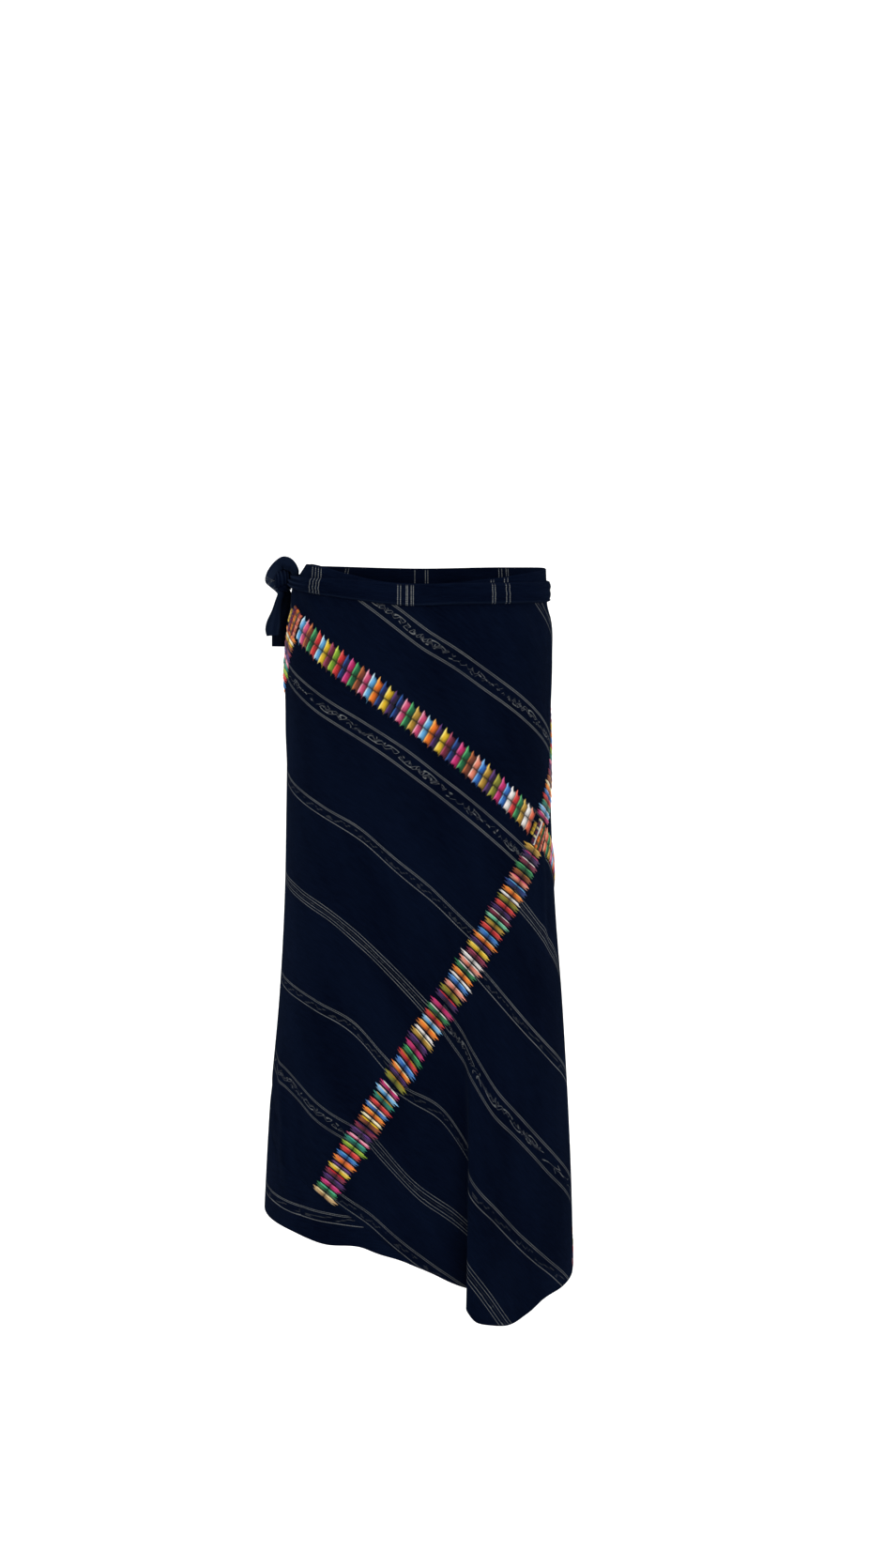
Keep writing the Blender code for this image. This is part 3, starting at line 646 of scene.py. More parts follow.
def column_turns(start, end, per_turn, fold_columns=0):
    """Even turns, with closer ones round the deep fold where it has columns."""
    turns = np.linspace(start, end, math.ceil((end - start) * per_turn) + 1)
    if not fold_columns:
        return turns
    low, high = DEEP_TURN - FOLD_REACH, DEEP_TURN + FOLD_REACH
    spare = FOLD_SPARE / per_turn
    others = turns[(turns < low - spare) | (turns > high + spare)]
    return np.sort(np.concatenate([others, np.linspace(low, high, fold_columns)]))


def flat_cloth(surface, turns, rows, hem):
    """The cloth as a grid on its flat plane, with each vertex's hung point and outward direction."""
    flat = bmesh.new()
    hung = flat.verts.layers.float_vector.new("hung")
    out = flat.verts.layers.float_vector.new("out")
    top = curve_through(BAND_TOP, 1, turns) - BAND_HEIGHT - SEAM_GAP
    bottom = curve_through(hem, 1, turns)
    heights = top[:, None] + np.linspace(0, 1, rows + 1) * (bottom - top)[:, None]
    point, direction, arc = surface.read(turns[:, None], heights)
    point = point + direction * crease_offset(arc, heights)[..., None]
    flat_heights = heights - sag(arc)
    columns = []
    for i in range(len(turns)):
        column = [flat.verts.new((arc[i, j], flat_heights[i, j], 0.0)) for j in range(rows + 1)]
        for j, vertex in enumerate(column):
            vertex[hung], vertex[out] = point[i, j], direction[i, j]
        columns.append(column)
    for left, right in zip(columns, columns[1:]):
        for a, b, c, d in zip(left, right, right[1:], left[1:]):
            flat.faces.new((a, d, c, b))
    return flat


def seam_across(line, arc):
    """A line parallel to the cross seam through the given line's place at this arc length."""
    return (line[0] + line[1] * arc - CROSS_SEAM[1] * arc, CROSS_SEAM[1])


def along_line(line):
    return np.array([1.0, line[1]]) / math.hypot(1, line[1])


def long_seam_arc(line):
    """The arc length at which a line meets the long seam."""
    return (line[0] - LONG_SEAM[0]) / (LONG_SEAM[1] - line[1])


def above(line, x, y):
    """The distance of a place above a line on the flat cloth, given as level and slope."""
    level, slope = line
    return (y - level - slope * x) / math.hypot(1, slope)


def cut_out(flat, every, some):
    """A piece of the flat cloth on the given side of every seam, and of one of some."""
    piece = flat.copy()
    margin = SEAM_GAP / 2
    for (level, slope), side in (*every, *some):
        across = Vector((-slope, 1.0, 0.0)).normalized()
        on_line = Vector((0.0, level, 0.0)) + across * side * margin
        geometry = [*piece.verts, *piece.edges, *piece.faces]
        bmesh.ops.bisect_plane(piece, geom=geometry, dist=1e-6, plane_co=on_line, plane_no=across)

    def kept(face):
        middle = face.calc_center_median()
        past = [side * above(line, middle.x, middle.y) > margin for line, side in (*every, *some)]
        return all(past[: len(every)]) and (not some or any(past[len(every) :]))

    bmesh.ops.delete(piece, geom=[face for face in piece.faces if not kept(face)], context="FACES")
    return piece


def stripe_places(rows, arc, height):
    """The stripe number, the distance along the stripes and their spacing in mm, on the cloth."""
    numbers, heights, slopes = [], [], []
    for number, points in rows:
        s, z = np.array(points).T
        inside = np.clip(arc, s[0], s[-1])
        tilt = np.interp(inside, s, np.gradient(z, s))
        numbers.append(number)
        heights.append(curve_through(points, 1, inside) + (arc - inside) * tilt)
        slopes.append(tilt)
    for i in range(MORE_STRIPES):
        numbers = [numbers[0] - 1, *numbers, numbers[-1] + 1]
        heights = [heights[0] + STRIPE_STEP, *heights, heights[-1] - STRIPE_STEP]
        slopes = [slopes[0], *slopes, slopes[-1]]
    numbers, heights, slopes = np.array(numbers, float), np.array(heights), np.array(slopes)
    below = np.clip((heights > height).sum(0), 1, len(numbers) - 1)
    index = np.arange(len(arc))
    high, low = heights[below - 1, index], heights[below, index]
    share = (high - height) / np.maximum(high - low, LEAST_SPACING)
    slope = slopes[below - 1, index] * (1 - share) + slopes[below, index] * share
    along = arc * math.hypot(1, STRIPE_SLOPE) + STRIPE_SHIFT * (height - (low + high) / 2)
    return numbers[below - 1] + share, along, 1000 * (high - low) / np.sqrt(1 + slope**2)


def panel(name, piece, stripes, material):
    """A thin closed wall of cloth on a cut piece, with the woven stripes' coordinates."""
    hung = piece.verts.layers.float_vector["hung"]
    out = piece.verts.layers.float_vector["out"]
    piece.verts.index_update()
    piece.verts.ensure_lookup_table()
    count = len(piece.verts)
    place = np.array([v[hung] for v in piece.verts])
    direction = np.array([v[out] for v in piece.verts])
    direction /= np.linalg.norm(direction, axis=1, keepdims=True)
    arc = np.array([v.co.x for v in piece.verts])
    faces = []
    for face in piece.faces:
        corners = [v.index for v in face.verts]
        if face.normal.z < 0:
            corners.reverse()
        faces += [corners, [count + i for i in reversed(corners)]]
        for a, b in zip(corners, corners[1:] + corners[:1]):
            if piece.edges.get((piece.verts[a], piece.verts[b])).is_boundary:
                faces.append([b, a, count + a, count + b])
    piece.free()
    made = new_mesh(name + "_cloth", [*place, *(place - direction * CLOTH)], faces)
    weave = np.stack(stripe_places(stripes, arc, place[:, 2]), axis=1)
    add_vectors(made, "weave", np.concatenate([weave, weave]))
    return finish_piece(made, material, name)


class Number:
    """A value in a node tree, with arithmetic that adds Math nodes."""

    def __init__(self, tree, socket):
        self.tree, self.socket = tree, socket

    def math(self, operation, *others):
        node = self.tree.nodes.new("ShaderNodeMath")
        node.operation = operation
        connect(self.tree, node.inputs, (self, *others))
        return Number(self.tree, node.outputs[0])

    __add__ = partialmethod(math, "ADD")
    __sub__ = partialmethod(math, "SUBTRACT")
    __mul__ = partialmethod(math, "MULTIPLY")
    __truediv__ = partialmethod(math, "DIVIDE")
    least = partialmethod(math, "MINIMUM")
    most = partialmethod(math, "MAXIMUM")
    floor = partialmethod(math, "FLOOR")
    sine = partialmethod(math, "SINE")
    # The remainder, from 0 up to a size, also for negative values
    wrapped = partialmethod(math, "FLOORED_MODULO")

    def away(self, place=0.0):
        """The distance from a place."""
        return (self - place).math("ABSOLUTE")

    def ramp(self, start, end, lowest=0.0):
        """The lowest value at start, 1 at end, smooth between."""
        node = self.tree.nodes.new("ShaderNodeMapRange")
        node.interpolation_type = "SMOOTHSTEP"
        self.tree.links.new(self.socket, node.inputs["Value"])
        node.inputs["From Min"].default_value = start
        node.inputs["From Max"].default_value = end
        node.inputs["To Min"].default_value = lowest
        return Number(self.tree, node.outputs["Result"])

    def is_about(self, value):
        return self.away(value).ramp(0.5, 0.49)


def connect(tree, inputs, values):
    """Links values of the tree to a node's inputs, and sets plain numbers on them."""
    for slot, value in zip(inputs, values):
        if isinstance(value, Number):
            tree.links.new(value.socket, slot)
        else:
            slot.default_value = value


def size_of(x, y):
    return (x * x + y * y).math("SQRT")


def line_mask(distance, half_width, soft):
    """1 on a line, 0 off it, from the distance to it."""
    return distance.ramp(half_width + soft, half_width)


def lines_at(value, places, half_width, soft):
    """1 on lines at some places, 0 off them."""
    return line_mask(reduce(Number.least, [value.away(place) for place in places]), half_width, soft)


def segment_distance(x, y, x0, y0, x1, y1):
    run, rise = x1 - x0, y1 - y0
    length = run * run + rise * rise
    share = ((x - x0) * (run / length) + (y - y0) * (rise / length)).most(0.0).least(1.0)
    return size_of(x - x0 - share * run, y - y0 - share * rise)


def ring_distance(x, y, middle_x, middle_y, radius_x, radius_y, tilt):
    c, s = math.cos(math.radians(tilt)), math.sin(math.radians(tilt))
    along = (x - middle_x) * c + (y - middle_y) * s
    across = (y - middle_y) * c - (x - middle_x) * s
    return size_of(along / radius_x, across / radius_y).away(1.0) * min(radius_x, radius_y)


def combine(tree, *values):
    node = tree.nodes.new("ShaderNodeCombineXYZ")
    connect(tree, node.inputs, values)
    return node.outputs[0]


def noise(tree, x, y, detail=1.0):
    node = tree.nodes.new("ShaderNodeTexNoise")
    node.inputs["Scale"].default_value = 1.0
    node.inputs["Detail"].default_value = detail
    tree.links.new(combine(tree, x, y), node.inputs["Vector"])
    return Number(tree, node.outputs["Fac"])


def random_step(tree, *values):
    """A random number from 0 to 1 for whole-numbered values."""
    node = tree.nodes.new("ShaderNodeTexWhiteNoise")
    node.noise_dimensions = "3D"
    tree.links.new(combine(tree, *values), node.inputs["Vector"])
    return Number(tree, node.outputs["Value"])


def attribute(tree, name, output):
    node = tree.nodes.new("ShaderNodeAttribute")
    node.attribute_name = name
    return node.outputs[output]


def attribute_parts(tree, name):
    split = tree.nodes.new("ShaderNodeSeparateXYZ")
    tree.links.new(attribute(tree, name, "Vector"), split.inputs[0])
    return [Number(tree, part) for part in split.outputs]


def mix_colour(tree, share, first, second):
    node = tree.nodes.new("ShaderNodeMix")
    node.data_type = "RGBA"
    tree.links.new(share.socket, node.inputs["Factor"])
    for name, value in (("A", first), ("B", second)):
        socket = [s for s in node.inputs if s.name == name and s.type == "RGBA"][0]
        if isinstance(value, tuple):
            socket.default_value = (*value, 1.0)
        else:
            tree.links.new(value, socket)
    return [s for s in node.outputs if s.type == "RGBA"][0]


def new_material(name, roughness=0.90, specular=0.0, sheen=0.012, sheen_tint=(0.45, 0.60, 1.0)):
    made = bpy.data.materials.new(name)
    made.use_nodes = True
    shader = made.node_tree.nodes["Principled BSDF"]
    shader.inputs["Roughness"].default_value = roughness
    shader.inputs["Specular IOR Level"].default_value = specular
    shader.inputs["Sheen Weight"].default_value = sheen
    shader.inputs["Sheen Roughness"].default_value = 0.45
    shader.inputs["Sheen Tint"].default_value = (*sheen_tint, 1.0)
    return made, made.node_tree, shader


def finish_shader(tree, shader, colour, height, distance):
    """Links the colour, and a bump of this height."""
    node = tree.nodes.new("ShaderNodeBump")
    node.inputs["Distance"].default_value = distance
    tree.links.new(height.socket, node.inputs["Height"])
    tree.links.new(node.outputs["Normal"], shader.inputs["Normal"])
    tree.links.new(colour, shader.inputs["Base Color"])


def weave_height(tree, across, along):
    """Plain weave: threads over and under, with uneven thickness."""
    turn = 2 * math.pi / WEAVE_STEP
    over = (across * turn).sine() * (along * turn).sine()
    slub = noise(tree, across * 900.0, along * 60.0)
    slub_across = noise(tree, across * 60.0, along * 900.0)
    return over * 0.5 + slub * 0.9 + slub_across * 0.9


def indigo(tree, soft, threads):
    """Dark blue that varies over the cloth and from thread to thread."""
    shade = soft.ramp(0.3, 0.7) * 0.55 + threads.ramp(0.25, 0.75) * 0.45
    return mix_colour(tree, shade, NAVY_LOW, NAVY_HIGH)


def figure_mask(x, y, cell):
    """Outline figures along a band, one kind in each cell."""
    kind = (cell * 3.0).wrapped(len(FIGURES))
    distance_to = {"line": segment_distance, "ring": ring_distance}
    masks = []
    for number, parts in enumerate(FIGURES):
        distance = reduce(Number.least, [distance_to[shape](x, y, *sizes) for shape, *sizes in parts])
        masks.append(line_mask(distance, 0.18, 0.28) * kind.is_about(number))
    return reduce(Number.__add__, masks)


def figure_band(tree, place, along, nearest, dots):
    """Figures between two borders of dotted double lines."""
    far = place.away()
    u = along * (1000.0 / FIGURE_STEP) + nearest * 0.37
    cell = u.floor()
    thread = (place / FIGURE_THREAD).floor()
    feather = (random_step(tree, thread, nearest, cell) - 0.5) * 0.8
    x = (u - cell - 0.5) * (FIGURE_STEP / FIGURE_STRETCH) + feather
    upright = (cell.wrapped(2.0) - 0.5) * 2.0
    borders = lines_at(far, BORDER_LINES, *FINE_LINE) * dots * 0.85
    fill = line_mask(far.away(sum(BORDER_LINES) / 2), 0.6, 0.2) * dots * 0.10
    return borders.most(fill).most(figure_mask(x, place * upright, cell) * 0.80)


def thin_band(place, dashes):
    """Thin lines in two pairs, with a broken line between."""
    pairs = lines_at(place.away(), PAIR_LINES, *FINE_LINE) * 0.80
    return pairs.most(line_mask(place.away(), 0.25, 0.3) * (dashes * 0.2 + 0.10))


def small_band(place, dots, dashes):
    """A dotted double line and a thin line, with faint dashes between."""
    double = line_mask(place.away(-SMALL_LINE).away(0.8), 0.16, 0.26) * dots * 0.85
    narrow = line_mask(place.away(SMALL_LINE), 0.28, 0.30) * dots * 0.80
    inner = line_mask(place.away().away(0.9), 0.25, 0.4).most(line_mask(place.away(2.4), 0.2, 0.4))
    return double.most(narrow).most(inner * dashes * 0.22)


def striped_cloth():
    """Dark cloth with woven bands. Across a band, places are in mm from its middle."""
    made, tree, shader = new_material("striped_handwoven_cotton")
    number, along, spacing = attribute_parts(tree, "weave")
    across = number * CLOTH_PER_STRIPE
    nearest = (number + 0.5).floor()
    waver = (noise(tree, across * 3.0, along * 11.0) - 0.5) * BAND_WAVER
    place = (number - nearest) * spacing + waver
    dot_place = along * (2 * math.pi / DOT_STEP) + place.away() * 2.6
    dots = dot_place.sine().ramp(-0.8, 0.5, 0.55)
    dashes = line_mask((along * DASHES_PER_METRE).wrapped(1.0).away(0.5), 0.10, 0.03)
    kind = nearest.wrapped(4.0)
    stripes = figure_band(tree, place, along, nearest, dots) * kind.is_about(1.0)
    stripes = stripes + thin_band(place, dashes) * kind.is_about(3.0)
    stripes = stripes + small_band(place, dots, dashes) * (kind.is_about(0.0) + kind.is_about(2.0))
    # Undyed threads show as uneven flecks, and the low bands are fainter
    flecks = noise(tree, across * 700.0, along * 900.0).ramp(0.25, 0.60, 0.45)
    worn = noise(tree, across * 14.0, along * 22.0, 2.0).ramp(0.25, 0.70, 0.65)
    stripes = stripes * flecks * worn * number.ramp(5.0, 4.2, 0.7)
    soft = noise(tree, across * 9.0, along * 9.0, 3.0)
    base = indigo(tree, soft, noise(tree, across * 700.0, along * 50.0))
    height = weave_height(tree, across, along) + stripes * 0.5
    finish_shader(tree, shader, mix_colour(tree, stripes, base, UNDYED), height, CLOTH_BUMP)
    return made


def plain_cloth(name, marks=()):
    """Dark cloth of the waistband and the tie, with undyed threads across it at some arc lengths."""
    made, tree, shader = new_material(name)
    along, across, lit = attribute_parts(tree, "band")
    width = across * BAND_HALF
    soft = noise(tree, width * 40.0, along * 12.0, 3.0)
    base = indigo(tree, soft, noise(tree, width * 900.0, along * 60.0))
    colour = mix_colour(tree, lit, base, NAVY_LIT)
    if marks:
        columns = lines_at(along * 1000.0, [1000.0 * mark for mark in marks], 0.26, 0.32)
        dotted = (width * (2 * math.pi / MARK_DOT_STEP)).sine().ramp(-0.7, 0.4, 0.25)
        reach = across.away(-0.05).ramp(0.98, 0.84)
        flecks = noise(tree, width * 700.0, along * 300.0).ramp(0.25, 0.6, 0.4)
        colour = mix_colour(tree, columns * dotted * reach * flecks, colour, UNDYED)
    finish_shader(tree, shader, colour, weave_height(tree, width, along), CLOTH_BUMP)
    return made


def thread_material():
    """Glossy cotton thread in the stitch's own colour, with fine strands along it."""
    made, tree, shader = new_material("embroidery_thread", 0.48, 0.22, 0.04, (1.0, 1.0, 1.0))
    across, along, _ = attribute_parts(tree, "strand")
    strands = (across * (2 * math.pi / STRAND_STEP)).sine()
    flecks = noise(tree, across * 2600.0, along * 500.0)
    bright = flecks.ramp(0.2, 0.6, 0.55) * (strands * 0.14 + 0.80)
    colour = mix_colour(tree, bright, (0.0, 0.0, 0.0), attribute(tree, "thread", "Color"))
    finish_shader(tree, shader, colour, strands * 0.5 + flecks, THREAD_BUMP)
    return made


class Stitches:
    """Collects padded fingers of thread in flat cloth coordinates, then hangs them on the cloth."""

    def __init__(self):
        self.places, self.faces, self.colours, self.strands = [], [], [], []

    def finger(self, start, end, half_width, height, tones, rows=FINGER):
        """A finger of thread with its own tone and a painted highlight tone for part of its length, with
        painted shade from the rows' brightness.
        """
        ahead = end - start
        length = np.hypot(*ahead)
        side = np.array([-ahead[1], ahead[0]]) / length
        first = len(self.places)
        for share, wide, high, bright, highlight_share in rows:
            colour = (tones[0] * (1 - highlight_share) + tones[1] * highlight_share) * bright
            for angle in np.linspace(0, math.pi, FINGER_SIDES):
                across = math.cos(angle) * half_width * wide
                lift = STITCH_FLOOR + height * high * math.sin(angle) ** 0.8
                self.places.append((*(start + ahead * share + side * across), lift))
                self.colours.append((*colour, 1.0))
                self.strands.append((across, length * share, 0.0))
        for row in range(len(rows) - 1):
            for k in range(FINGER_SIDES - 1):
                a = first + row * FINGER_SIDES + k
                self.faces.append((a, a + 1, a + FINGER_SIDES + 1, a + FINGER_SIDES))

    def hang(self, name, surface, material, replaced):
        arc, flat_height, lift = np.array(self.places).T
        height = flat_height + sag(arc)
        point, out, _ = surface.read(surface.turns_at(arc, height), height)
        offset = crease_offset(arc, height) + lift
        made = new_mesh(name + "_stitches", point + out * offset[:, None], self.faces, sharp=180)
        colours = made.data.color_attributes.new("thread", "FLOAT_COLOR", "POINT")
        colours.data.foreach_set("color", np.array(self.colours, np.float32).ravel())
        add_vectors(made, "strand", self.strands)
        return finish_piece(made, material, replaced)


def thread_tones(name):
    """The thread's two tones, from sRGB to linear."""
    tones = np.array(THREADS[name])
    return np.where(tones > 0.04, ((tones + 0.055) / 1.055) ** 2.4, tones / 12.92)


def seam_frame(line, arc_from, arc_to):
    """Where a seam starts, its direction, the direction across it towards its top, and its length."""
    along = along_line(line)
    across = np.array([-along[1], along[0]])
    start = np.array([arc_from, line[0] + line[1] * arc_from])
    length = (arc_to - arc_from) / along[0]
    return start, math.copysign(1, length) * along, across, abs(length)


def block(stitches, place, along, outwards, side, name, rng):
    """One padded block: strands side by side, with a tall tip at one corner."""
    main, highlight_tone = thread_tones(name)
    # Painted highlight on the first two strands and painted shade on the last two, as on a block lit from
    # one side
    tones = ((highlight_tone, highlight_tone), (main * 1.15, highlight_tone), (main, main), (main * 0.58, main), (main * 0.20, main * 0.4))
    pitch = LONG_PITCH * (DARK_BLOCK if name in DARK_THREADS else 1.0)
    for (share, width, height), tall, tone in zip(BLOCK_STRANDS, BLOCK_REACHES[::side], tones):
        reach = EMBROIDERY_HALF_WIDTH * tall * rng.uniform(0.94, 1.07)
        start = place + along * share * pitch * BLOCK_FOOT
        end = place + along * (share * pitch * BLOCK_TIP - side * LONG_LEAN * reach) + outwards * reach
        stitches.finger(start, end, pitch * width * rng.uniform(0.9, 1.1), STITCH_HEIGHT * height, tone)


def long_band(name, surface, material, line, arc_from, arc_to, fits):
    """Two rows of leaning blocks along a seam."""
    rng = np.random.default_rng(len(name) * 7 + 3)
    start, along, across, total = seam_frame(line, arc_from, arc_to)
    colours = (LONG_COLOURS if name == "long_front" else HIDDEN_COLOURS).split()
    stitches = Stitches()
    for i in range(int(total / LONG_PITCH)):
        middle = start + along * (i + 0.5) * LONG_PITCH
        for side in (1, -1):
            place = middle - along * side * LONG_STAGGER
            if fits(place) and fits(place + across * side * EMBROIDERY_HALF_WIDTH):
                block(stitches, place, along, across * side, side, colours[i % len(colours)], rng)
    return stitches.hang(name, surface, material, "randa_" + name)


def cross_band(name, surface, material, line, arc_from, arc_to, fits):
    """One row of leaning bars across a seam, each of strands with torn ends and divided in its middle."""
    rng = np.random.default_rng(len(name) * 5 + 1)
    start, along, across, total = seam_frame(line, arc_from, arc_to)
    down = along if along[1] < 0 else -along
    words = CROSS_BARS.split()
    bars = [(threads, float(width) * BAR_STRETCH) for threads, width in zip(words[::2], words[1::2])]
    first = 0 if name == "cross_front" else HIDDEN_START * len(name)
    stitches = Stitches()
    run = 0.0
    for threads, width in islice(cycle(bars), first, None):
        if run >= total:
            break
        middle = start + along * (run + width / 2)
        lean = np.interp(run / total, *np.array(CROSS_LEAN).T)
        run += width
        if threads == "gap":
            continue
        edge, _, body = threads.partition("+")
        main, highlight_tone = thread_tones(body or edge)
        # A bar of one thread gets the painted highlight tone on its upper strand
        upper = thread_tones(edge)[0 if body else 1]
        lift = STITCH_HEIGHT * (HEM_STITCHES[1] if middle[1] < HEM_STITCHES[0] else 1.0)
        for side in (1, -1):
            outwards = (across - down * lean) * side
            if not fits(middle) or not fits(middle + outwards * EMBROIDERY_HALF_WIDTH * BAR_ROOM):
                continue
            stretch = CROSS_REACH * rng.uniform(0.88, 1.10)
            rows = BAR_STRANDS if width > THIN_BAR else THIN_STRANDS
            for number, (place, half_width, height, reach, bright) in enumerate(rows):
                at = middle + down * width * place
                tip = at + outwards * stretch * reach * rng.uniform(0.93, 1.07)
                tones = (upper, upper) if number == 0 else (main * bright, highlight_tone)
                stitches.finger(at - outwards * BAR_OVERLAP, tip, width * half_width, lift * height, tones)
    return stitches.hang(name, surface, material, "randa_" + name)


def crossing(name, surface, material, seam):
    """A rounded square where two seams cross: rows of stitches along the cross seam."""
    arc = long_seam_arc(seam)
    along, up = along_line(LONG_SEAM), along_line(seam)
    middle = np.array([arc, LONG_SEAM[0] + LONG_SEAM[1] * arc]) - up * CROSSING_DROP
    rng = np.random.default_rng(11)
    stitches = Stitches()
    half = CROSSING_MOTIF_HALF

    def at(p, q):
        return middle + along * (p - half) + up * q

    def reach(p):
        return half * (1 - min(1.0, abs(p - half) / half) ** SQUARE_POWER) ** (1 / SQUARE_POWER)

    def row(p, width, names, count):
        limit = (reach(p) + reach(p + width)) / 2
        for i in range(count):
            q = -limit + 2 * limit * (i + 0.5) / count
            main, highlight_tone = thread_tones(names[i % len(names)])
            # The first strand of each stitch is darker: painted shade along one side of the stitch
            for k, bright in enumerate((0.6, 1.0, 1.0)):
                place = q + 2 * limit / count * (k - 1) / 3
                tones = (main * bright * rng.uniform(0.85, 1.1), highlight_tone)
                ends = (at(p, place), at(p + width, place))
                stitches.finger(*ends, limit / count / 2.8, STITCH_HEIGHT * 1.15, tones)

    def cord(p, width, colour):
        main = thread_tones(colour)[0]
        steps = np.linspace(-0.96, 0.96, 7) * reach(p)
        bends = p + CORD_BEND * np.sin(3 * steps / half)
        for a, b, p_a, p_b in zip(steps, steps[1:], bends, bends[1:]):
            ends = (at(p_a, a), at(p_b, b + CORD_OVERLAP))
            stitches.finger(*ends, width / 2, STITCH_HEIGHT * 1.2, (main, main), CORD)

    light = name == "front"
    row(0.0, 0.0058, ("yellow", "gold"), 6)
    row(0.0062, 0.0060, ("purple", "maroon", "purple", "cream" if light else "brown"), 12)
    cord(0.0128, 0.0014, "white" if light else "maroon")
    row(0.0142, 0.0058, ("orange", "brown", "orange"), 9)
    cord(0.0208, 0.0011, "green")
    cord(0.0220, 0.0011, "maroon")
    row(0.0232, 0.0046, ("coral", "salmon"), 7)
    return stitches.hang(name + "_crossing", surface, material, "crossing_" + name)


def lofted(name, rings, band, material, replaced):
    """A closed strip of cloth through rings of points, each with its coordinates on the strip."""
    count, size = rings.shape[:2]
    faces = []
    for first in range(0, (count - 1) * size, size):
        for low in range(first, first + size):
            after = first + (low + 1 - first) % size
            faces.append([low, after, after + size, low + size])
    faces += [list(range(size))[::-1], list(range((count - 1) * size, count * size))]
    made = new_mesh(name, rings.reshape(-1, 3), faces, sharp=75)
    add_vectors(made, "band", band)
    return finish_piece(made, material, replaced)


def band_places(*parts):
    """Arc lengths, shares of the width from -1 to 1 and how lit, as one table."""
    return np.stack(np.broadcast_arrays(*parts), axis=-1)


def make_waistband(name, start, end, surface, material):
    turns = column_turns(start, end, density(180))
    share, depth = np.array(WAISTBAND_PROFILE).T
    heights = curve_through(BAND_TOP, 1, turns)[:, None] - BAND_HEIGHT * (1 - share)
    point, out, _ = surface.read(turns[:, None], heights)
    # Over the front, marks keep their place from side to side, so that they look upright
    level, _, arc = surface.read(turns, 0.0)
    front = level[:, 1] < 0
    order = np.argsort(level[front, 0])
    along = np.repeat(arc[:, None], len(share), axis=1)
    along[front] = np.interp(point[front, :, 0], level[front, 0][order], arc[front][order])
    rings = point - out * (BAND_THICK * depth)[:, None]
    return lofted(name + "_cloth", rings, band_places(along, share * 2 - 1, 0.0), material, name)


def make_belt(surface, material):
    """The tie round the waist, gathered into pleats at both ends, with a fold low along it."""
    start, end = BELT[0][0], BELT[-1][0]
    turns = column_turns(start, end, density(320))[:, None]
    outer_sides, inner_sides = 25, 9
    share = np.concatenate([np.linspace(-1.0, 1.0, outer_sides), np.linspace(1.0, -1.0, inner_sides)])
    outer = np.arange(len(share)) < outer_sides
    from_middle = curve_through(BELT, 2, turns) * share * np.where(outer, 0.985, 0.95)
    point, out, _ = surface.read(turns, curve_through(BELT, 1, turns) + from_middle)
    arc = surface.read(turns, 0.0)[2]
    near_start = smooth_step(1 - (turns - start) / GATHERED[0])
    near_end = smooth_step(1 - (end - turns) / GATHERED[1])
    gathered = near_start + near_end
    waves = np.sin(9 * share + arc * 21.0), np.sin(3 * share + arc * 95.0)
    ripple = BELT_RIPPLES[0] * waves[0] + BELT_RIPPLES[1] * waves[1]
    pleats = np.cos(share * math.pi * 3.6 + 0.6) * gathered**0.7
    groove = BELT_GROOVE * np.exp(-(((share + 0.70) / 0.06) ** 2)) * (1 - 0.5 * near_start)
    thick = BELT_THICK + BELT_CROWN * (1 - share**2) + BELT_GATHER * gathered
    thick = thick + BELT_PLEATS * pleats + ripple - groove
    offset = BELT_SEAT + np.where(outer, thick * np.sqrt(1 - np.abs(share) ** 8), 0.0)
    lit = 0.5 * np.maximum(pleats, 0.0) + np.where(outer & (abs(share + 0.865) < 0.105), 0.18, 0.0)
    rings = point + out * offset[..., None]
    return lofted("tie_band_cloth", rings, band_places(arc, share, lit), material, "tie_belt")


def make_knot(material):
    """The knot: a wrapped turn with upright pleats, over a slanting one below it."""
    shape = bmesh.new()
    sides = density(128)
    bmesh.ops.create_uvsphere(shape, u_segments=sides, v_segments=sides // 2, radius=1.0)
    shape.verts.index_update()
    x, y, z = place = np.array([vertex.co.normalized() for vertex in shape.verts]).T
    faces = [[vertex.index for vertex in face.verts] for face in shape.faces]
    shape.free()
    squared = np.copysign(np.abs(place) ** 0.82, place)
    split = z + 0.42 - 0.35 * x
    upper = smooth_step(split / 0.14)
    upright = np.sin(19 * x + 2.2 * z + 5 * y)
    slanting = np.sin(15 * (z + 0.55 * x))
    pleats = upright * KNOT_PLEATS[0] * upper + slanting * KNOT_PLEATS[1] * (1 - upper)
    rise = KNOT_RISE * upper + pleats - KNOT_GROOVE * np.exp(-((split / 0.09) ** 2))
    points = np.array(KNOT_CENTRE) + (squared * (np.array(KNOT_HALF)[:, None] + rise)).T
    lit = np.maximum(0.0, upright) * upper * 0.5 + np.maximum(0.0, slanting) * (1 - upper) * 0.4
    made = new_mesh("tie_knot_cloth", points, faces, sharp=180)
    add_vectors(made, "band", band_places(0.05 + x * 0.01, z, lit * np.maximum(0.0, z + 0.6)))
    return finish_piece(made, material, "tie_knot")


def lengths(vectors):
    return np.linalg.norm(vectors, axis=-1, keepdims=True)


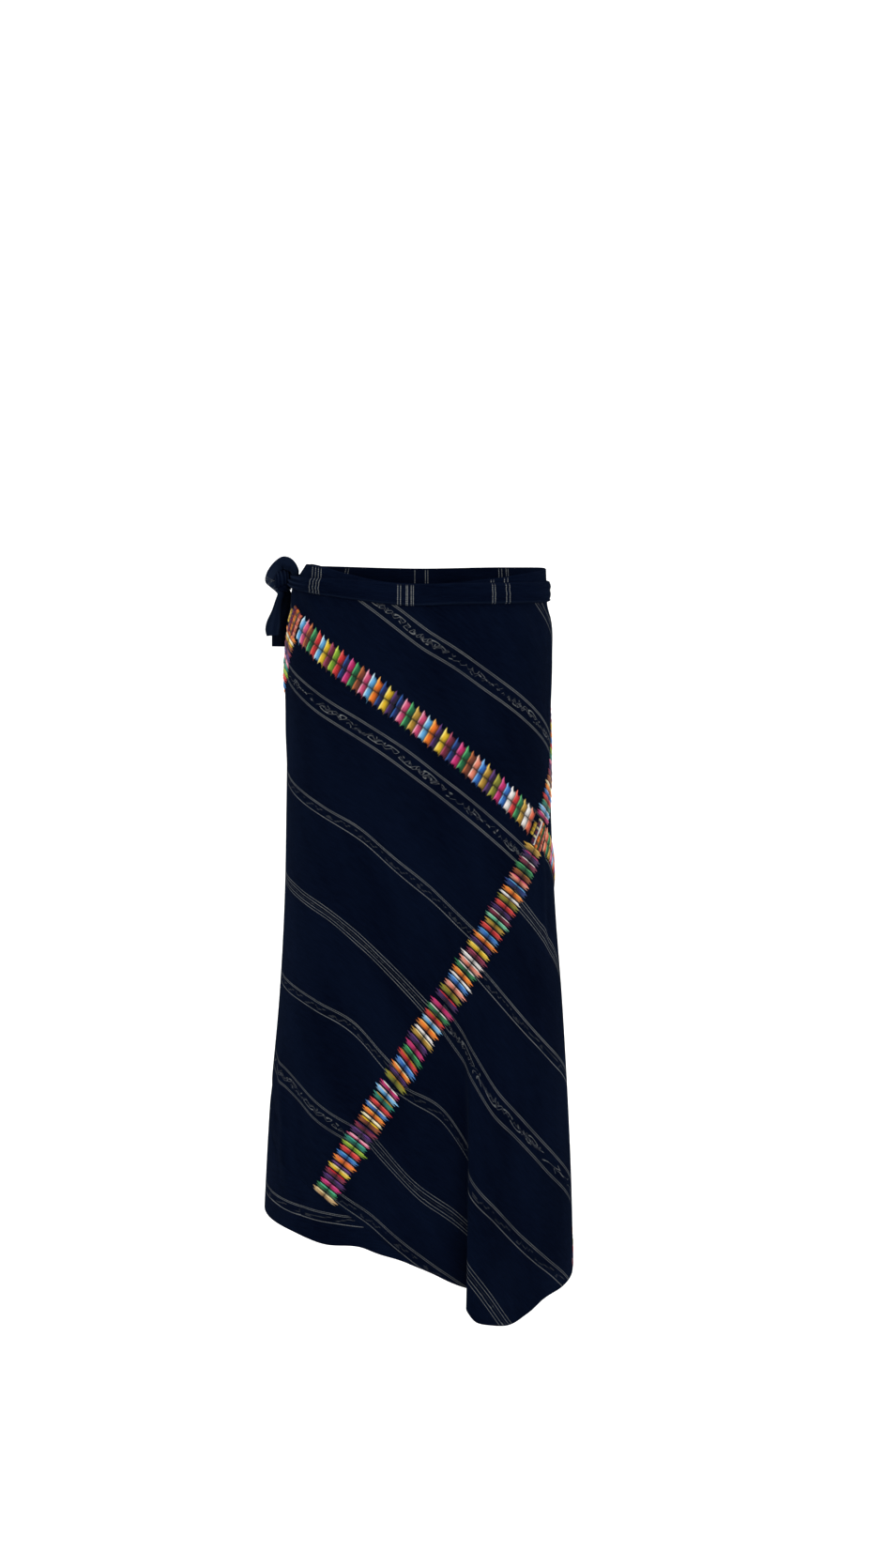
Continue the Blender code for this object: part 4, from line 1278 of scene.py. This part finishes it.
def make_strap(name, rows, material, pleats, mark, inner=0.0):
    """A folded strip of cloth along the rows' middle line, with soft pleats along it. Its inner side
    can be drawn in towards the knot, and mark is the arc length on the tie at which it starts."""
    steps = np.linspace(0, len(rows) - 1, (len(rows) - 1) * density(12) + 1)
    numbered = [(i, *row) for i, row in enumerate(rows)]
    path = np.array([curve_through(numbered, c, steps) for c in range(1, 7)]).T
    centre, half_width, half_thick, angle = path[:, :3], path[:, 3:4], path[:, 4:5], np.radians(path[:, 5])
    ahead = np.gradient(centre, axis=0)
    ahead /= lengths(ahead)
    wide = np.stack([np.cos(angle), np.sin(angle), np.zeros_like(angle)], axis=1)
    wide -= ahead * (wide * ahead).sum(1, keepdims=True)
    wide /= lengths(wide)
    thick = np.cross(ahead, wide)
    inwards = np.sign((thick * (np.array(KNOT_CENTRE) - centre)).sum(1, keepdims=True))
    run = np.cumsum([0.0, *lengths(np.diff(centre, axis=0))[:, 0]])[:, None]
    share = np.linspace(0, 1, len(path))[:, None]
    corner = np.linspace(0, 2 * math.pi, STRAP_SIDES, endpoint=False)
    c, s = np.cos(corner), np.sin(corner)
    u, v = np.copysign(np.abs(c) ** 0.55, c), np.copysign(np.abs(s) ** 0.75, s)
    folds = np.sin(pleats * u * math.pi + 2.4 * share)
    drawn = inner * np.maximum(0.0, v * inwards) * np.sin(math.pi * np.minimum(1.0, share * 1.15)) ** 0.5
    rise = half_thick * v * (1 + 0.20 * folds * np.abs(s)) + inwards * drawn
    rings = centre[:, None] + wide[:, None] * (half_width * u)[..., None] + thick[:, None] * rise[..., None]
    lit = (0.22 + 0.60 * np.maximum(0.0, folds)) * (0.4 + 0.6 * np.maximum(0.0, -u))
    return lofted(name + "_cloth", rings, band_places(mark + run, u, lit), material, name)


EDGE_SEAM = seam_across(LONG_SEAM, EDGE_ARC)
BACK_SEAM = seam_across(LONG_SEAM, BACK_ARC)
CROSS_ARC = long_seam_arc(CROSS_SEAM)


def make_panels(cloth):
    """Every panel, by name: cut from the outer layer along its seams, or from the under layer."""
    striped = striped_cloth()
    turns = column_turns(FREE_EDGE, UNDER_SEAM, density(220), density(81))
    flat = flat_cloth(cloth, turns, density(130), HEM)
    gores = ((GORE_SEAM, 1), (GORE_SEAM_LOW, 1))
    # name, stripes, which side of every seam, and of one or more of these
    cuts = (
        ("upper_front", STRIPES_UPPER, ((LONG_SEAM, 1), (CROSS_SEAM, 1)), ()),
        ("back", STRIPES_BACK, ((LONG_SEAM, 1), (CROSS_SEAM, -1), (BACK_SEAM, 1)), ()),
        ("back_edge", STRIPES_BACK_EDGE, ((LONG_SEAM, 1), (BACK_SEAM, -1)), ()),
        ("wrap_edge", STRIPES_FRONT, ((LONG_SEAM, -1), (EDGE_SEAM, 1)), ()),
        ("front", STRIPES_FRONT, ((LONG_SEAM, -1), (CROSS_SEAM, 1), (EDGE_SEAM, -1)), gores),
        ("side", STRIPES_SIDE, ((LONG_SEAM, -1), (CROSS_SEAM, -1), gores[1], (BACK_SEAM, 1)), ()),
        ("back_low", STRIPES_BACK_LOW, ((LONG_SEAM, -1), (BACK_SEAM, -1)), ()),
    )
    panels = {}
    for name, stripes, every, some in cuts:
        name = "panel_" + name
        panels[name] = panel(name, cut_out(flat, every, some), stripes, striped)
    gore = cut_out(flat, ((GORE_SEAM, -1), (GORE_SEAM_LOW, -1)), ())
    panels["corner_gore"] = panel("corner_gore", gore, STRIPES_GORE, striped)
    flat.free()
    for name, start, end in (
        ("panel_under", UNDER_SEAM + SEAM_TURN, UNDER_JOIN),
        ("panel_under_front", UNDER_JOIN + SEAM_TURN, INNER_END),
    ):
        turns = column_turns(start, end, density(150))
        under = flat_cloth(cloth, turns, density(110), UNDER_HEM)
        panels[name] = panel(name, under, STRIPES_UNDER, striped)
    return panels


def seam_test(cloth, sides):
    """A test of places on the flat cloth: on their sides of seams, and clear of the edges and hem."""
    clearances = {GORE_SEAM: GORE_CLEARANCE, BELT_EDGE: BELT_CLEARANCE}

    def fits(place):
        for seam, side in sides:
            if side * above(seam, *place) <= clearances.get(seam, CROSSING_CLEARANCE):
                return False
        height = place[1] + float(sag(place[0]))
        turn = float(cloth.turns_at(place[0], height))
        inside = FREE_EDGE + EDGE_TURN < turn < UNDER_SEAM - EDGE_TURN
        return inside and height > float(curve_through(HEM, 1, turn)) + HEM_CLEARANCE

    return fits


def make_seams(cloth):
    """The stitches of every seam and crossing, by name."""
    thread = thread_material()
    # name, seam line, arc length from and to, which sides of which seams
    rows = (
        ("long_front", LONG_SEAM, EDGE_ARC + LONG_START, CROSS_ARC, ((CROSS_SEAM, 1), (EDGE_SEAM, -1))),
        ("long_back", LONG_SEAM, CROSS_ARC + LONG_START, BACK_ARC, ((CROSS_SEAM, -1), (BACK_SEAM, 1))),
        ("long_end", LONG_SEAM, BACK_ARC + LONG_START, 0.72, ((BACK_SEAM, -1),)),
        ("cross_front", CROSS_SEAM, CROSS_ARC - FRONT_START, -0.1163, ((LONG_SEAM, -1), (GORE_SEAM, 1))),
        ("cross_hip", CROSS_SEAM, CROSS_ARC + CROSS_START, 0.400, ((LONG_SEAM, 1), (BELT_EDGE, -1))),
        ("edge", EDGE_SEAM, EDGE_ARC - CROSS_START, -0.300, ((LONG_SEAM, -1),)),
        ("back_low", BACK_SEAM, BACK_ARC - CROSS_START, 0.100, ((LONG_SEAM, -1),)),
        ("back_high", BACK_SEAM, BACK_ARC + CROSS_START, 0.720, ((LONG_SEAM, 1), (BELT_EDGE, -1))),
    )
    seams = {}
    for name, line, start, end, sides in rows:
        make = long_band if line is LONG_SEAM else cross_band
        seams["randa_" + name] = make(name, cloth, thread, line, start, end, seam_test(cloth, sides))
    for name, seam in (("front", CROSS_SEAM), ("edge", EDGE_SEAM), ("back", BACK_SEAM)):
        seams["crossing_" + name] = crossing(name, cloth, thread, seam)
    return seams


def make_waist(body, cloth):
    """The waistband in its two lengths, and the pieces of the tie."""
    plain, marked = plain_cloth("dark_handwoven_cotton"), plain_cloth("tie_handwoven_cotton", TIE_MARKS)
    bands = [
        make_waistband("waistband", FREE_EDGE, BAND_JOIN, cloth, marked),
        make_waistband("waistband_inner", BAND_JOIN + SEAM_TURN, INNER_END, cloth, plain),
    ]
    tie = [
        make_belt(body, marked),
        make_knot(marked),
        make_strap("tie_loop", LOOP_CLOTH, marked, 1.5, -0.0330, inner=0.0050),
        make_strap("tie_tail_outer", TAIL_OUTER, marked, 2.0, 0.1040),
        make_strap("tie_tail_inner", TAIL_INNER_CLOTH, marked, 1.5, 0.1040),
    ]
    return bands, tie


def paper_sweep():
    """White paper: a floor that curves up behind the skirt."""
    made, _, shader = new_material("studio_paper", 0.9, 0.1, 0.0)
    shader.inputs["Base Color"].default_value = (0.945, 0.945, 0.945, 1.0)
    rows = [(SWEEP_FRONT, SWEEP_FLOOR)]
    for angle in np.linspace(0, math.pi / 2, 25):
        across, up = SWEEP_RADIUS * math.sin(angle), SWEEP_RADIUS * (1 - math.cos(angle))
        rows.append((SWEEP_BEND + across, SWEEP_FLOOR + up))
    rows.append((SWEEP_BEND + SWEEP_RADIUS, SWEEP_TOP))
    points = [(x, y, z) for y, z in rows for x in (-SWEEP_HALF_WIDTH, SWEEP_HALF_WIDTH)]
    faces = [(2 * i, 2 * i + 1, 2 * i + 3, 2 * i + 2) for i in range(len(rows) - 1)]
    sweep = new_mesh("studio_floor", points, faces, sharp=180)
    sweep.data.materials.append(made)


def studio():
    world = bpy.data.worlds.new("studio")
    world.use_nodes = True
    background = world.node_tree.nodes["Background"]
    background.inputs["Color"].default_value = (1.0, 1.0, 1.0, 1.0)
    background.inputs["Strength"].default_value = 0.85
    bpy.context.scene.world = world
    bpy.context.scene.view_settings.view_transform = "Standard"
    paper_sweep()
    skirt, paper = Vector((0.0, 0.0, -0.4)), Vector((0.0, 2.6, -0.4))
    # name, place, aim, size, power
    for name, place, aim, size, power in (
        ("key", (-1.6, -2.4, 1.5), skirt, 1.6, 42.0),
        ("fill", (2.2, -1.8, 0.8), skirt, 1.8, 26.0),
        ("top", (0.0, 0.3, 2.6), skirt, 2.0, 30.0),
        ("paper_left", (-2.2, 1.6, 1.2), paper, 1.6, 34.0),
        ("paper_right", (2.2, 1.6, 1.2), paper, 1.6, 34.0),
    ):
        light = bpy.data.lights.new(name, "AREA")
        light.energy, light.size = power, size
        lamp = bpy.data.objects.new(name, light)
        lamp.location = place
        lamp.rotation_euler = (aim - Vector(place)).to_track_quat("-Z", "Y").to_euler()
        bpy.context.scene.collection.objects.link(lamp)


def camera():
    lens = bpy.data.cameras.new("camera")
    lens.sensor_fit = "AUTO"
    lens.sensor_width = 36.0
    lens.lens = lens.sensor_width * FOCAL_PIXELS / PHOTO_PIXELS
    lens.clip_start, lens.clip_end = 0.05, 50.0
    seen_from = bpy.data.objects.new("camera", lens)
    seen_from.location = CAMERA_PLACE
    seen_from.rotation_euler = (math.radians(90 - CAMERA_TILT), 0.0, 0.0)
    bpy.context.scene.collection.objects.link(seen_from)
    bpy.context.scene.camera = seen_from


for old in ("Cube", "Light", "Camera"):
    if old in bpy.data.objects:
        bpy.data.objects.remove(bpy.data.objects[old], do_unlink=True)
camera()
studio()
body = Surface(*body_rings())
cloth = Surface(*hang_cloth(body.x, body.y))
make_panels(cloth)
make_seams(cloth)
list(make_waist(body, cloth))
